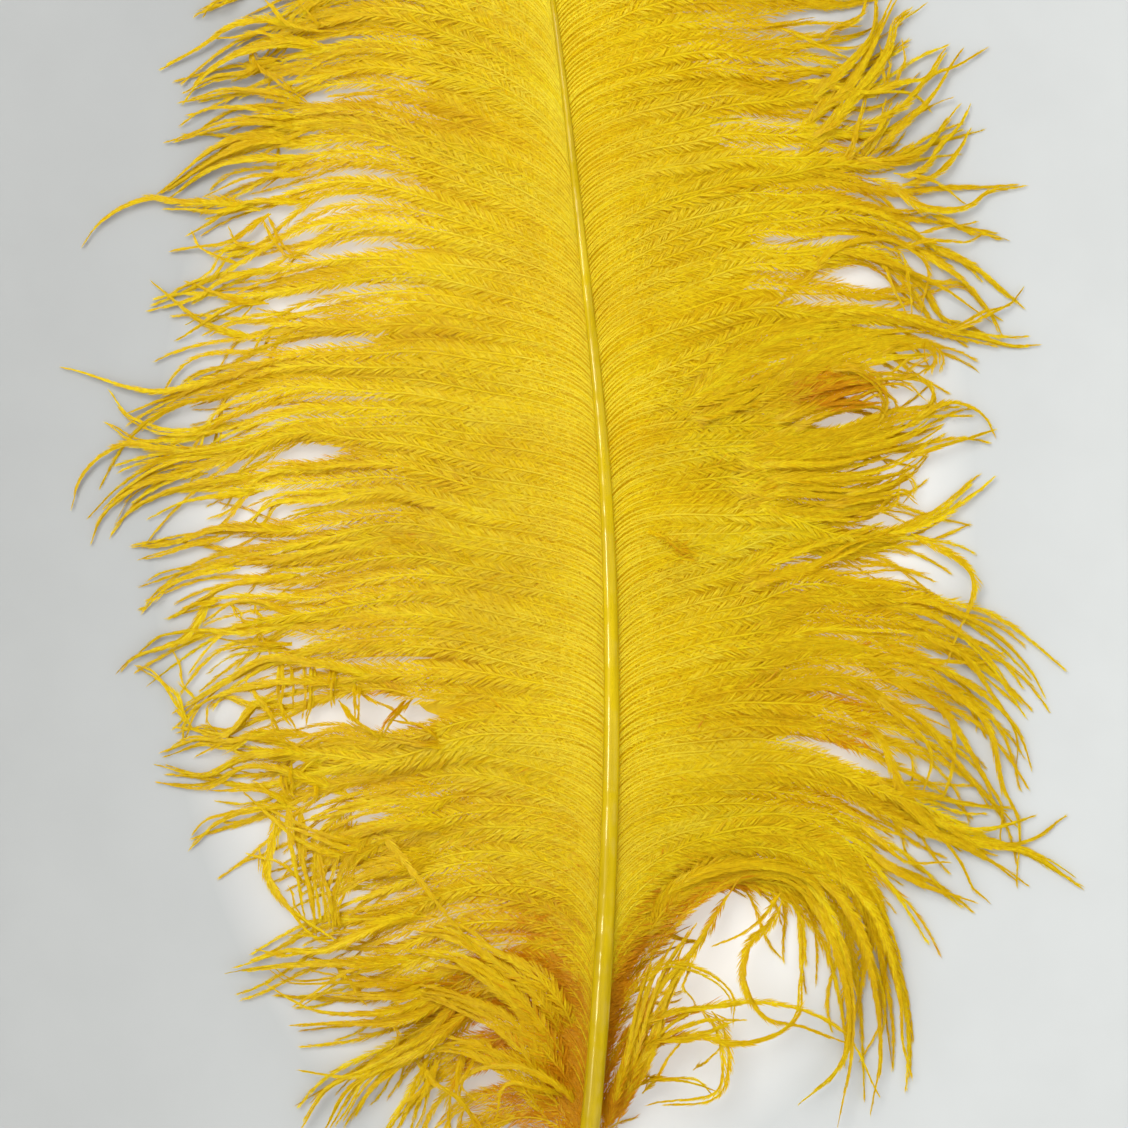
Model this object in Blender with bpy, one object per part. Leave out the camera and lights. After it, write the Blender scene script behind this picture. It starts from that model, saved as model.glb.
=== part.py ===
"""A dyed ostrich wing plume, lying on its underside.

The plume runs along +Y, from the quill's blunt end to the loose barbs past the shaft's tip, and +Z
is up. The shaft is a tapered, bowed and arched tube. Each vane is a row of locks of barbs: near
the shaft they lie edge to edge in one ridged sheet, and further out each is a finger of its own
that narrows and droops to the surface. A few loose strands cross over them. All of it grew as one
piece, so it is joined into one solid.

The sizes below are in millimetres. Y is measured from the quill's end, X across the plume.
"""

import math
from typing import NamedTuple

import bmesh
import bpy
import numpy as np

MM = 0.001
NAME = "feather"

# The shaft, seen from above: where its middle lies, from the quill's end to its tip.
SHAFT_LINE = (
    (-1.9, 0.0),
    (6.4, 64.0),
    (10.7, 126.0),
    (11.75, 171.0),
    (10.1, 226.0),
    (4.25, 286.0),
    (-2.9, 346.0),
    (-14.5, 416.0),
)
# Its width: the quill's cut end, the quill's stoutest place, and on along the shaft to its tip.
SHAFT_WIDTH = (
    (0.0, 3.0),
    (6.0, 4.2),
    (40.0, 5.0),
    (101.0, 4.8),
    (146.0, 4.1),
    (201.0, 3.5),
    (251.0, 2.6),
    (306.0, 1.9),
    (346.0, 1.4),
    (416.0, 0.9),
)
SHAFT_LENGTH = SHAFT_LINE[-1][1]
SHAFT_STEPS = 24
SHAFT_SIDES_RESOLUTION = 1
# Seen from the side, the shaft arches from the surface and back; its tip rests on the barbs.
ARCH_HEIGHT = 11.5
ARCH_SKEW = 0.9
SHAFT_TIP_LIFT = 1.6

# Every barb leaves the shaft steeply and bends over within a few millimetres. A vane's root lies
# a little inside the shaft's middle line, so the two vanes and the shaft are one.
BEND_RISE = 5.5
BEND_RUN = 4.5
ROOT_INSET = 0.25

# A vane: one sheet near the shaft, ridged along each lock, which parts into a finger a lock.
# SHEET_RINGS are shares of a lock's way in the sheet, and FINGER_RINGS of its way beyond it.
# FINGER_SHARES is how much of the room between its neighbours the finger fills at its rings.
SHEET_RINGS = (0.0, 0.2, 0.53, 1.0)
FINGER_RINGS = (0.28, 0.56, 0.81, 1.0)
FINGER_SHARES = (0.88, 0.56, 0.28, 0.12)
LAST_SHEET_RING = len(SHEET_RINGS) - 1
WIDEST_HALF_ROOM = 5.2
NARROWEST_HALF_FINGER = 0.55
OUTER_LOCK_HALF_WIDTH = 3.0
# Thickness on the ridge at each ring, at a lock's edge, and an edge's most as a share of a ridge.
RIDGE_THICKNESS = (1.2, 1.6, 2.1, 2.1, 2.1, 2.0, 1.6, 0.9)
BLADE_EDGE = 1.1
EDGE_SHARE = 0.55
# Locks lie in layers that repeat: how much higher each layer's middle and its tip lie. From
# TOUCHDOWN of its length on, a lock lies level, and the lowest layer lies on the surface.
LAYER_LIFTS = (0.0, 1.6, 0.8)
TIP_LIFTS = (0.0, 1.3, 0.6)
TOUCHDOWN = 0.85
DROOP_POWER = 1.5
CREST = 1.2

# A loose strand's blade, and how far it rides over the locks.
STRAND_RINGS = (0.0, 0.14, 0.36, 0.58, 0.76, 0.90, 1.0)
STRAND_HALF_WIDTH = 1.4
STRAND_TIP_HALF_WIDTH = 0.55
STRAND_THICKNESS = 1.4
STRAND_TIP_THICKNESS = 0.9
STRAND_LIFT = 2.6
STRAND_TIP_LIFT = 1.0

BARB_COLOUR = (0.76, 0.52, 0.02, 1.0)
BARB_ROUGHNESS = 0.55
SHARP_ANGLE = math.radians(50.0)
WELD = 0.000002


class Lock(NamedTuple):
    """A lock or strand, from above: root on the shaft, tip, and the angles at which it sets off
    and arrives, in degrees from straight out, towards the plume's tip. handle is the share of the
    way from root to tip over which each of the two angles holds, and sheet the share of its
    length, in which a lock is part of the vane's sheet."""

    root: float
    tip_x: float
    tip_y: float
    leave: float
    arrive: float
    handle: float = 0.38
    sheet: float = 0.53


LEFT_LOCKS = (
    Lock(412, -27, 462, 72, 78),
    Lock(402, -52, 453, 60, 38),
    Lock(391, -75, 439, 53, 14),
    Lock(380, -92, 421, 49, 2),
    Lock(369, -101, 402, 46, -12),
    Lock(357, -99, 384, 44, -22),
    Lock(346, -103, 366, 44, -25),
    Lock(333, -92, 343, 44, -20),
    Lock(312, -100, 329, 46, -32),
    Lock(301, -96, 322, 42, -14),
    Lock(292, -97, 313, 35, -12),
    Lock(283, -101, 299, 30, -42),
    Lock(275, -93, 288, 27, -38),
    Lock(270, -90, 282, 18, -12),
    Lock(266, -104, 269, 24, -14),
    Lock(259, -97, 262, 22, -32),
    Lock(252, -108, 251, 19, -34),
    Lock(244, -112, 242, 17, -14),
    Lock(235, -124, 220, 12, -58),
    Lock(227, -113, 229, 13, -10),
    Lock(219, -119, 214, 12, -45),
    Lock(211, -112, 216, 12, -28),
    Lock(202, -108, 209, 14, -4),
    Lock(194, -106, 196, 15, -30),
    Lock(187, -98, 192, 15, -24),
    Lock(180, -112, 178, 15, -30),
    Lock(170, -98, 164, 14, -42),
    Lock(159, -101, 158, 2, -10),
    Lock(152, -102, 151, 12, 8),
    Lock(136, -93, 134, 32, -34),
    Lock(126, -78, 130, 42, 6),
    Lock(117, -67, 115, 48, -38),
    Lock(99, -84, 102, 58, -12),
    Lock(90, -74, 98, 62, 20),
    Lock(83, -67, 89, 65, 4),
    Lock(76, -66, 64, 66, -48),
    Lock(61, -42, 55, 66, -72),
    Lock(50, -24, 42, 64, -80),
)
RIGHT_LOCKS = (
    Lock(412, -3, 464, 74, 84),
    Lock(402, 24, 457, 62, 58),
    Lock(391, 48, 445, 50, 44),
    Lock(380, 66, 430, 42, 42),
    Lock(369, 80, 412, 36, 46),
    Lock(357, 87, 396, 32, 52),
    Lock(346, 90, 379, 28, 55),
    Lock(335, 88, 362, 26, 60),
    Lock(325, 90, 346, 24, 44),
    Lock(316, 86, 337, 22, 74),
    Lock(307, 96, 334, 22, 56),
    Lock(298, 99, 320, 26, 52),
    Lock(284, 115, 300, 38, 4),
    Lock(276, 111, 287, 38, -14),
    Lock(268, 115, 269, 36, -42),
    Lock(259, 108, 264, 32, -48),
    Lock(251, 119, 260, 28, -8),
    Lock(242, 92, 252, 26, -60),
    Lock(238, 90, 252, 20, -10),
    Lock(234, 96, 245, 20, 22),
    Lock(226, 109, 238, 17, 6),
    Lock(218, 90, 229, 16, -8),
    Lock(214, 88, 222, 15, -20),
    Lock(210, 108, 228, 16, 52),
    Lock(194, 105, 204, 17, -30),
    Lock(186, 94, 199, 19, -38),
    Lock(178, 121, 172, 19, -56),
    Lock(171, 116, 166, 16, -54),
    Lock(164, 119, 154, 14, -62),
    Lock(150, 109, 142, 17, -8),
    Lock(143, 130, 124, 20, -30),
    Lock(137, 107, 132, 23, -22),
    Lock(131, 102, 117, 26, -36, 0.38, 0.50),
    Lock(124, 94, 104, 28, -66, 0.42, 0.45),
    Lock(118, 87, 77, 34, -96, 0.60, 0.34),
    Lock(111, 79, 68, 42, -102, 0.62, 0.28),
    Lock(104, 69, 65, 48, -96, 0.60, 0.22),
    Lock(90, 41, 73, 64, -104, 0.55, 0.26),
    Lock(80, 38, 82, 58, -26, 0.38, 0.36),
    Lock(66, 36, 68, 58, -40),
    Lock(50, 22, 44, 62, -76),
)
LEFT_STRANDS = (
    Lock(281, -121, 286, 26, -48),
    Lock(250, -102, 276, 14, 40),
    Lock(241, -126, 255, 12, 20),
    Lock(146, -107, 179, 4, 52),
    Lock(141, -61, 112, 20, -118, 0.75),
)
RIGHT_STRANDS = (
    Lock(247, 115, 274, 22, 48, 0.42),
    Lock(186, 96, 185, 20, -112, 0.55),
    Lock(160, 112, 126, 15, -88, 0.5),
    Lock(148, 126, 140, 14, 14),
    Lock(104, 38, 109, 40, -155, 1.8),
    Lock(97, 80, 70, 30, -60),
    Lock(84, 60, 110, 18, 88, 0.55),
)
LEFT, RIGHT = -1, 1


def smooth_through(points, places):
    """Heights at the places of a smooth curve through (value, place) points."""
    at = np.array([p[1] for p in points])
    value = np.array([p[0] for p in points])
    slope = np.gradient(value, at)
    places = np.clip(places, at[0], at[-1])
    span = np.clip(np.searchsorted(at, places) - 1, 0, len(at) - 2)
    width = at[span + 1] - at[span]
    t = (places - at[span]) / width
    start = (2 * t**3 - 3 * t**2 + 1) * value[span] + (t**3 - 2 * t**2 + t) * width * slope[span]
    end = (3 * t**2 - 2 * t**3) * value[span + 1] + (t**3 - t**2) * width * slope[span + 1]
    return start + end


def shaft_x(y):
    """Where the middle of the shaft lies across the plume."""
    return smooth_through(SHAFT_LINE, y)


def shaft_width(y):
    """The shaft's full width."""
    return np.interp(y, [w[0] for w in SHAFT_WIDTH], [w[1] for w in SHAFT_WIDTH])


def shaft_height(y):
    """The height of the shaft's middle: its underside starts on the surface and arches over it."""
    share = np.clip(y / SHAFT_LENGTH, 0.0, 1.0)
    arch = ARCH_HEIGHT * np.sin(math.pi * share**ARCH_SKEW)
    return shaft_width(y) / 2 + arch + SHAFT_TIP_LIFT * share


def barb_line(lock, side, shares):
    """Points of a lock's middle line from above, at shares of its length from root to tip."""
    start = np.array([float(shaft_x(np.array([lock.root]))[0]), lock.root + BEND_RISE])
    end = np.array([lock.tip_x, lock.tip_y], float)
    reach = lock.handle * np.linalg.norm(end - start)
    leave, arrive = math.radians(lock.leave), math.radians(lock.arrive)
    first = start + reach * np.array([side * math.cos(leave), math.sin(leave)])
    last = end - reach * np.array([side * math.cos(arrive), math.sin(arrive)])
    t = np.asarray(shares, float)[:, None]
    line = (1 - t)**3 * start + 3 * t * (1 - t)**2 * first + 3 * t**2 * (1 - t) * last + t**3 * end
    gone = np.linalg.norm(line - start, axis=1)
    line[:, 1] -= BEND_RISE * np.exp(-gone / BEND_RUN)
    return line


def across(line):
    """Unit vectors square to a line."""
    along = np.gradient(line, axis=0)
    along /= np.linalg.norm(along, axis=1)[:, None]
    return np.stack([-along[:, 1], along[:, 0]], axis=1)


def line_heights(lock, shares, crest, tip_height):
    """Heights of a lock's underside: off the shaft's side, over its crest and down to its flat
    end."""
    root = float(shaft_height(np.array([lock.root]))[0]) - BLADE_EDGE
    way = np.minimum(np.asarray(shares) / TOUCHDOWN, 1.0)
    fall = way**DROOP_POWER
    return root * (1 - fall) + tip_height * fall + crest * np.sin(math.pi * way)


def helper(name, form, collection):
    """Turns a form into a hidden object, whose shape is joined to the shaft later."""
    bmesh.ops.recalc_face_normals(form, faces=form.faces)
    mesh = bpy.data.meshes.new(name)
    form.to_mesh(mesh)
    form.free()
    made = bpy.data.objects.new(name, mesh)
    collection.objects.link(made)
    made.hide_render = True
    made.display_type = "WIRE"


def skin(form, ring, following):
    """Quads between two rings with the same number of corners."""
    for i in range(len(ring)):
        j = (i + 1) % len(ring)
        form.faces.new((ring[i], ring[j], following[j], following[i]))


def corner(form, point, height):
    """A corner at a point of the plan and a height."""
    return form.verts.new((point[0] * MM, point[1] * MM, height * MM))


def section(form, upper, middle, lower, low, thin, thick):
    """A blade's cross-section, flat below and ridged above, as a ring of corners."""
    heights = (low, low, low + thin, low + thick, low + thin)
    return [corner(form, point, height)
            for point, height in zip((upper, lower, lower, middle, upper), heights)]


def lock_shares(lock):
    """The shares of a lock's length at which its rings lie."""
    sheet = lock.sheet * np.array(SHEET_RINGS)
    finger = lock.sheet + (1 - lock.sheet) * np.array(FINGER_RINGS)
    return np.concatenate([sheet, finger])


def finger_side(middle, edge, square):
    """Points of one side of a finger. square is the unit vectors to that side of its middle line,
    and edge is where its room ends."""
    room = np.abs(np.sum((edge - middle) * square, axis=1))
    half = np.minimum(room, WIDEST_HALF_ROOM) * np.array(FINGER_SHARES)
    return middle + square * np.maximum(half, NARROWEST_HALF_FINGER)[:, None]


def make_vane(locks, side, side_name, collection):
    """A vane: a ridged sheet that its locks share near the shaft, and a finger for each lock."""
    shares = [lock_shares(lock) for lock in locks]
    lines = [barb_line(lock, side, at) for lock, at in zip(locks, shares)]
    for line in lines:
        line[0, 0] -= side * ROOT_INSET
    ends = (across(lines[0]) * side, across(lines[-1]) * -side)
    edges = [lines[0] + OUTER_LOCK_HALF_WIDTH * ends[0]]
    edges += [(line + following) / 2 for line, following in zip(lines, lines[1:])]
    edges.append(lines[-1] + OUTER_LOCK_HALF_WIDTH * ends[1])
    lows = []
    for i, (lock, at) in enumerate(zip(locks, shares)):
        kind = i % len(TIP_LIFTS)
        lows.append(line_heights(lock, at, CREST + LAYER_LIFTS[kind], TIP_LIFTS[kind]))
    edge_lows = [lows[0]]
    edge_lows += [(low + following) / 2 for low, following in zip(lows, lows[1:])]
    edge_lows.append(lows[-1])

    form = bmesh.new()
    sheet = range(len(SHEET_RINGS))
    ridges = [[corner(form, line[j], low[j] + RIDGE_THICKNESS[j]) for j in sheet]
              for line, low in zip(lines, lows)]
    seams = [[(corner(form, line[j], low[j]), corner(form, line[j], low[j] + BLADE_EDGE))
              for j in sheet] for line, low in zip(edges, edge_lows)]
    for ridge, upper, lower in zip(ridges, seams, seams[1:]):
        form.faces.new((upper[0][0], upper[0][1], ridge[0], lower[0][1], lower[0][0]))
        for j in range(LAST_SHEET_RING):
            form.faces.new((upper[j][0], lower[j][0], lower[j + 1][0], upper[j + 1][0]))
            form.faces.new((upper[j][1], upper[j + 1][1], ridge[j + 1], ridge[j]))
            form.faces.new((ridge[j], ridge[j + 1], lower[j + 1][1], lower[j][1]))
    for rim in (seams[0], seams[-1]):
        for j in range(LAST_SHEET_RING):
            form.faces.new((rim[j][0], rim[j + 1][0], rim[j + 1][1], rim[j][1]))

    first = len(SHEET_RINGS)
    for i, (line, low) in enumerate(zip(lines, lows)):
        square = (across(line) * side)[first:]
        upper = finger_side(line[first:], edges[i][first:], square)
        lower = finger_side(line[first:], edges[i + 1][first:], -square)
        above, below = seams[i][LAST_SHEET_RING], seams[i + 1][LAST_SHEET_RING]
        ring = [above[0], below[0], below[1], ridges[i][LAST_SHEET_RING], above[1]]
        for j, ridge in enumerate(RIDGE_THICKNESS[first:]):
            following = section(form, upper[j], line[first + j], lower[j], low[first + j],
                                min(BLADE_EDGE, ridge * EDGE_SHARE), ridge)
            skin(form, ring, following)
            ring = following
        form.faces.new(ring)
    helper(f"{side_name}_vane", form, collection)


def make_strands(strands, side, side_name, collection):
    """Loose strands, flat below and ridged above, which ride over the locks."""
    shares = np.array(STRAND_RINGS)
    half = np.interp(shares, (0.0, 0.5, 1.0),
                     (STRAND_HALF_WIDTH, STRAND_HALF_WIDTH, STRAND_TIP_HALF_WIDTH))
    thick = np.interp(shares, (0.0, 0.7, 1.0),
                      (STRAND_THICKNESS, STRAND_THICKNESS, STRAND_TIP_THICKNESS))
    for i, strand in enumerate(strands):
        line = barb_line(strand, side, shares)
        square = across(line) * side * half[:, None]
        low = line_heights(strand, shares, STRAND_LIFT, STRAND_TIP_LIFT)
        form = bmesh.new()
        rings = [section(form, line[j] + square[j], line[j], line[j] - square[j],
                         low[j], thick[j] / 2, thick[j]) for j in range(len(shares))]
        for ring, following in zip(rings, rings[1:]):
            skin(form, ring, following)
        form.faces.new(rings[0])
        form.faces.new(rings[-1])
        helper(f"{side_name}_strand_{i:02d}", form, collection)


def make_shaft(collection):
    """The quill and shaft: a tapered round tube along the bowed, arched line."""
    places = np.linspace(0.0, SHAFT_LENGTH, SHAFT_STEPS)
    places[1] = SHAFT_WIDTH[1][0]
    curve = bpy.data.curves.new("shaft_line", "CURVE")
    curve.dimensions = "3D"
    curve.bevel_depth = MM
    curve.bevel_resolution = SHAFT_SIDES_RESOLUTION
    curve.use_fill_caps = True
    curve.twist_mode = "Z_UP"
    spline = curve.splines.new("POLY")
    spline.points.add(len(places) - 1)
    widths, lefts, heights = shaft_width(places), shaft_x(places), shaft_height(places)
    for point, x, y, z, width in zip(spline.points, lefts, places, heights, widths):
        point.co = (x * MM, y * MM, z * MM, 1.0)
        point.radius = width / 2
    line = bpy.data.objects.new("shaft_line", curve)
    collection.objects.link(line)
    bpy.context.view_layer.update()
    evaluated = line.evaluated_get(bpy.context.evaluated_depsgraph_get())
    mesh = bpy.data.meshes.new_from_object(evaluated)
    mesh.name = NAME
    shaft = bpy.data.objects.new(NAME, mesh)
    collection.objects.link(shaft)
    shaft.matrix_world = line.matrix_world
    bpy.data.objects.remove(line)
    form = bmesh.new()
    form.from_mesh(mesh)
    bmesh.ops.remove_doubles(form, verts=form.verts, dist=WELD)
    form.to_mesh(mesh)
    form.free()
    return shaft


def barb_material():
    """Dyed barbs: matt, warm yellow."""
    material = bpy.data.materials.new("dyed_barbs")
    material.use_nodes = True
    shader = material.node_tree.nodes["Principled BSDF"]
    shader.inputs["Base Color"].default_value = BARB_COLOUR
    shader.inputs["Roughness"].default_value = BARB_ROUGHNESS
    shader.inputs["Metallic"].default_value = 0.0
    return material


def fuse(shaft, blades):
    """Joins the blades to the shaft in one closed solid, and shades it smooth."""
    union = shaft.modifiers.new("grown_together", "BOOLEAN")
    union.operation = "UNION"
    union.solver = "EXACT"
    union.operand_type = "COLLECTION"
    union.collection = blades
    bpy.context.view_layer.update()
    evaluated = shaft.evaluated_get(bpy.context.evaluated_depsgraph_get())
    joined = bpy.data.meshes.new_from_object(evaluated)
    shaft.modifiers.remove(union)
    shaft.data = joined
    form = bmesh.new()
    form.from_mesh(joined)
    bmesh.ops.remove_doubles(form, verts=form.verts, dist=WELD)
    bmesh.ops.dissolve_degenerate(form, dist=WELD, edges=form.edges)
    form.to_mesh(joined)
    form.free()
    joined.name = NAME
    joined.shade_smooth()
    joined.set_sharp_from_angle(angle=SHARP_ANGLE)


def centre_on_base(feather):
    """Moves the origin to the middle of the underside of the plume's box."""
    corners = np.array([vertex.co[:] for vertex in feather.data.vertices])
    low, high = corners.min(axis=0), corners.max(axis=0)
    middle = ((low[0] + high[0]) / 2, (low[1] + high[1]) / 2, low[2])
    for vertex in feather.data.vertices:
        vertex.co = [vertex.co[axis] - middle[axis] for axis in range(3)]


def main():
    """Builds the plume."""
    for old in list(bpy.data.objects):
        bpy.data.objects.remove(old)
    scene_collection = bpy.context.scene.collection
    plume = bpy.data.collections.new("ostrich_feather")
    blades = bpy.data.collections.new("blades")
    scene_collection.children.link(plume)
    scene_collection.children.link(blades)
    shaft = make_shaft(plume)
    make_vane(LEFT_LOCKS, LEFT, "left", blades)
    make_vane(RIGHT_LOCKS, RIGHT, "right", blades)
    make_strands(LEFT_STRANDS, LEFT, "left", blades)
    make_strands(RIGHT_STRANDS, RIGHT, "right", blades)
    fuse(shaft, blades)
    centre_on_base(shaft)
    shaft.data.materials.clear()
    shaft.data.materials.append(barb_material())


main()
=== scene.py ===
"""Looks of a dyed ostrich wing plume that lies on its underside on a pale surface.

Plans are in millimetres on the plume's own sheet: Y runs from the quill's end to the tip, X lies
across it. Meshes are in metres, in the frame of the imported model. A share is a part of a whole,
from 0 to 1. A pair of numbers named as a range holds the least and the most, and a table of pairs
holds a place and the value there.
"""

import logging
import math
from dataclasses import dataclass, field
from enum import Enum

import bpy
import numpy as np
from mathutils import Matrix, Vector


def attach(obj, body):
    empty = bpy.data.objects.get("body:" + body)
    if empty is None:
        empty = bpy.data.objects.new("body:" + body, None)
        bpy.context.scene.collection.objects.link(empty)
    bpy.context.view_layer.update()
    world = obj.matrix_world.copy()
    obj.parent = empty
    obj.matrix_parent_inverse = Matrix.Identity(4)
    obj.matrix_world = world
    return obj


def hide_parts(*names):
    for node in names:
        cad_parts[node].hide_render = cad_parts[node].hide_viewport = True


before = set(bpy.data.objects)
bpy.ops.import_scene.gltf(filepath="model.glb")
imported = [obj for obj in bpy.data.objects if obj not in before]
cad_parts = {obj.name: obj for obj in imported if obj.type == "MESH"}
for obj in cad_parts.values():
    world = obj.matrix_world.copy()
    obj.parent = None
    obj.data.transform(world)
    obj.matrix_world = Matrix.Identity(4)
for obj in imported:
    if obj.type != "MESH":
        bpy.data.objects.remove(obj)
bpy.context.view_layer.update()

LOG = logging.getLogger("plume")
MM = 0.001
NODE = "feather"
BODY = "root"
# About a full turn in radians: the range from which a wave's start is drawn.
PHASES = (0.0, 6.3)
# How steeply a vane falls away from the shaft, and the share of a barb's way at which it lands.
FALL = 1.35
LANDING = 0.92
# The least height of a barb's middle and of any corner.
LOWEST_BARB = 0.35
LOWEST_CORNER = 0.03
# The least length that a vector is divided by.
SHORTEST = 1e-9
Array = np.ndarray
Random = np.random.Generator


class Side(Enum):
    """A vane's side of the shaft, as the sign of X."""

    LEFT = -1
    RIGHT = 1


class Slot(Enum):
    """The record's material slots."""

    BARBS = "barbs"
    SHAFT = "shaft"


class Tone(Enum):
    """How deep a strand's colour is, as its place in the list of finishes: the dye's own tone, and
    painted shade and highlight laid over it.
    """

    PALE = 0
    CLEAR = 1
    DEEP = 2
    AMBER = 3


def ramp(low: float, high: float, at: Array) -> Array:
    """Smooth step from 0 at low to 1 at high."""
    t = np.clip((np.asarray(at, float) - low) / (high - low), 0.0, 1.0)
    return t * t * (3.0 - 2.0 * t)


def unit(vectors: Array) -> Array:
    """Vectors scaled to length 1."""
    return vectors / np.maximum(np.linalg.norm(vectors, axis=-1, keepdims=True), SHORTEST)


def read(table: tuple, at: Array) -> Array:
    """Values of a table of (place, value) pairs, in straight steps between its places."""
    return np.interp(at, *zip(*table))


def fallen(way: Array) -> Array:
    """How much of the shaft's height a barb has lost at a share of its way to the surface."""
    return 1.0 - (1.0 - way)**FALL


def first_corners(rows: int, width: int) -> Array:
    """Number of the first point of each cell in a grid whose rows are some points wide."""
    return (np.arange(rows)[:, None] * width + np.arange(width - 1)[None, :]).reshape(-1, 1)


def through(points: tuple, places: Array) -> Array:
    """Values at places of a smooth curve.

    Args:
        points: (value, place) pairs in order of place.
        places: where to read the curve.

    Returns:
        One value a place.
    """
    at = np.array([p[1] for p in points], float)
    value = np.array([p[0] for p in points], float)
    slope = np.gradient(value, at)
    places = np.clip(places, at[0], at[-1])
    span = np.clip(np.searchsorted(at, places) - 1, 0, len(at) - 2)
    width = at[span + 1] - at[span]
    t = (places - at[span]) / width
    start = (2 * t**3 - 3 * t**2 + 1) * value[span] + (t**3 - 2 * t**2 + t) * width * slope[span]
    end = (3 * t**2 - 2 * t**3) * value[span + 1] + (t**3 - t**2) * width * slope[span + 1]
    return start + end


@dataclass(frozen=True)
class ShaftPlan:
    """Where the shaft lies, as points of X and Y, how wide it is and how it arches."""

    line: tuple = (
        (-1.9, 0.0), (6.4, 64.0), (10.7, 126.0), (11.75, 171.0),
        (10.1, 226.0), (4.25, 286.0), (-2.9, 346.0), (-14.5, 416.0),
    )
    width: tuple = (
        (0.0, 3.0), (6.0, 4.2), (40.0, 5.0), (101.0, 4.8), (146.0, 4.1),
        (201.0, 3.5), (251.0, 2.6), (306.0, 1.9), (346.0, 1.4), (416.0, 0.9),
    )
    length: float = 416.0
    arch: float = 11.5
    arch_skew: float = 0.9
    tip_lift: float = 1.6

    def x(self, y: Array) -> Array:
        """Middle of the shaft across the plume."""
        return through(self.line, np.asarray(y, float))

    def full_width(self, y: Array) -> Array:
        """The shaft's width."""
        return read(self.width, y)

    def z(self, y: Array) -> Array:
        """Height of the shaft's middle.

        Args:
            y: places along the plume.

        Returns:
            One height a place.
        """
        share = np.clip(np.asarray(y, float) / self.length, 0.0, 1.0)
        arch = self.arch * np.sin(math.pi * share**self.arch_skew)
        return self.full_width(y) / 2 + arch + self.tip_lift * share

    def beside(self, points: Array) -> Array:
        """The place along the shaft that each point of the plan lies beside."""
        return np.clip(points[..., 1], 0.0, self.length)

    def away(self, points: Array) -> Array:
        """How far each point of the plan lies from the shaft's middle, across the plume."""
        return np.abs(points[..., 0] - self.x(self.beside(points)))


SHAFT = ShaftPlan()


@dataclass(frozen=True)
class Placing:
    """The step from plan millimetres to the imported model's metres."""

    shift: tuple

    @classmethod
    def from_quill(cls, slice_length: float = 2.0) -> "Placing":
        """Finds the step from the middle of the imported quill's end.

        Args:
            slice_length: how much of the quill's end is measured, in millimetres.

        Returns:
            The step.
        """
        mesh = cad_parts[NODE].data
        points = np.array([v.co[:] for v in mesh.vertices])
        end = points[points[:, 1] < points[:, 1].min() + slice_length * MM].mean(axis=0)
        return cls((end[0] - SHAFT.line[0][0] * MM, end[1] - SHAFT.line[0][1] * MM))

    def metres(self, points: Array) -> Array:
        """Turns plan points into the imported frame.

        Args:
            points: X, Y and Z in millimetres along the last axis.

        Returns:
            The same points in metres.
        """
        out = np.asarray(points, float) * MM
        out[..., 0] += self.shift[0]
        out[..., 1] += self.shift[1]
        return out


PLACING = Placing.from_quill()


@dataclass(frozen=True)
class Patch:
    """A long patch of the plan: its middle, half its length and width, and its slope in degrees."""

    x: float
    y: float
    half_length: float
    half_width: float
    slope: float

    def axes(self) -> tuple:
        """Works out which way the patch lies.

        Returns:
            The directions along and across it.
        """
        angle = math.radians(self.slope)
        along = np.array([math.cos(angle), math.sin(angle)])
        return along, np.array([-along[1], along[0]])

    def measure(self, points: Array) -> tuple:
        """Finds where points lie in the patch.

        Args:
            points: X and Y along the last axis.

        Returns:
            How far along and how far across each lies, where 1 is the patch's edge.
        """
        along, square = self.axes()
        gap = points - np.array([self.x, self.y])
        return gap @ along / self.half_length, gap @ square / self.half_width


@dataclass(frozen=True)
class Parting(Patch):
    """A gap between barbs, which bend round it."""

    across_counts: float = 0.3
    soft_edge: float = 4.0
    most: float = 1.6
    taper: float = 1.15
    fade: float = 4.0
    least_turn: float = 0.6

    def bend(self, lines: Array) -> Array:
        """Bends barbs round the gap, each to the side on which it already passes.

        Args:
            lines: points as barbs x stations x 2.

        Returns:
            The bent lines.
        """
        along, square = self.axes()
        u, v = self.measure(lines)
        nearest = (u**2 + (self.across_counts * v)**2).argmin(axis=1)
        each = np.arange(len(lines))
        turn = unit(np.gradient(lines, axis=1))[each, nearest] @ along
        side = np.where(v[each, nearest] < 0, -1.0, 1.0)[:, None]
        away = side * v
        push = np.clip((np.sqrt(away**2 + self.soft_edge) - away) / 2.0, 0.0, self.most)
        push = push * np.exp(-(self.taper * u)**2) * np.exp(-(np.maximum(away, 0.0) / self.fade)**2)
        push = push * self.half_width * (np.abs(turn) > self.least_turn)[:, None]
        return lines + (push * side)[..., None] * square


@dataclass(frozen=True)
class PaintedFoldShade(Patch):
    """A patch of painted shade where barbs lie in a fold or hollow, by some tones in its middle."""

    depth: float

    def painted_shade_at(self, points: Array) -> Array:
        """How many tones of painted shade each point gets."""
        u, v = self.measure(points)
        return self.depth * np.exp(-(u**2 + v**2)**2)


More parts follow.
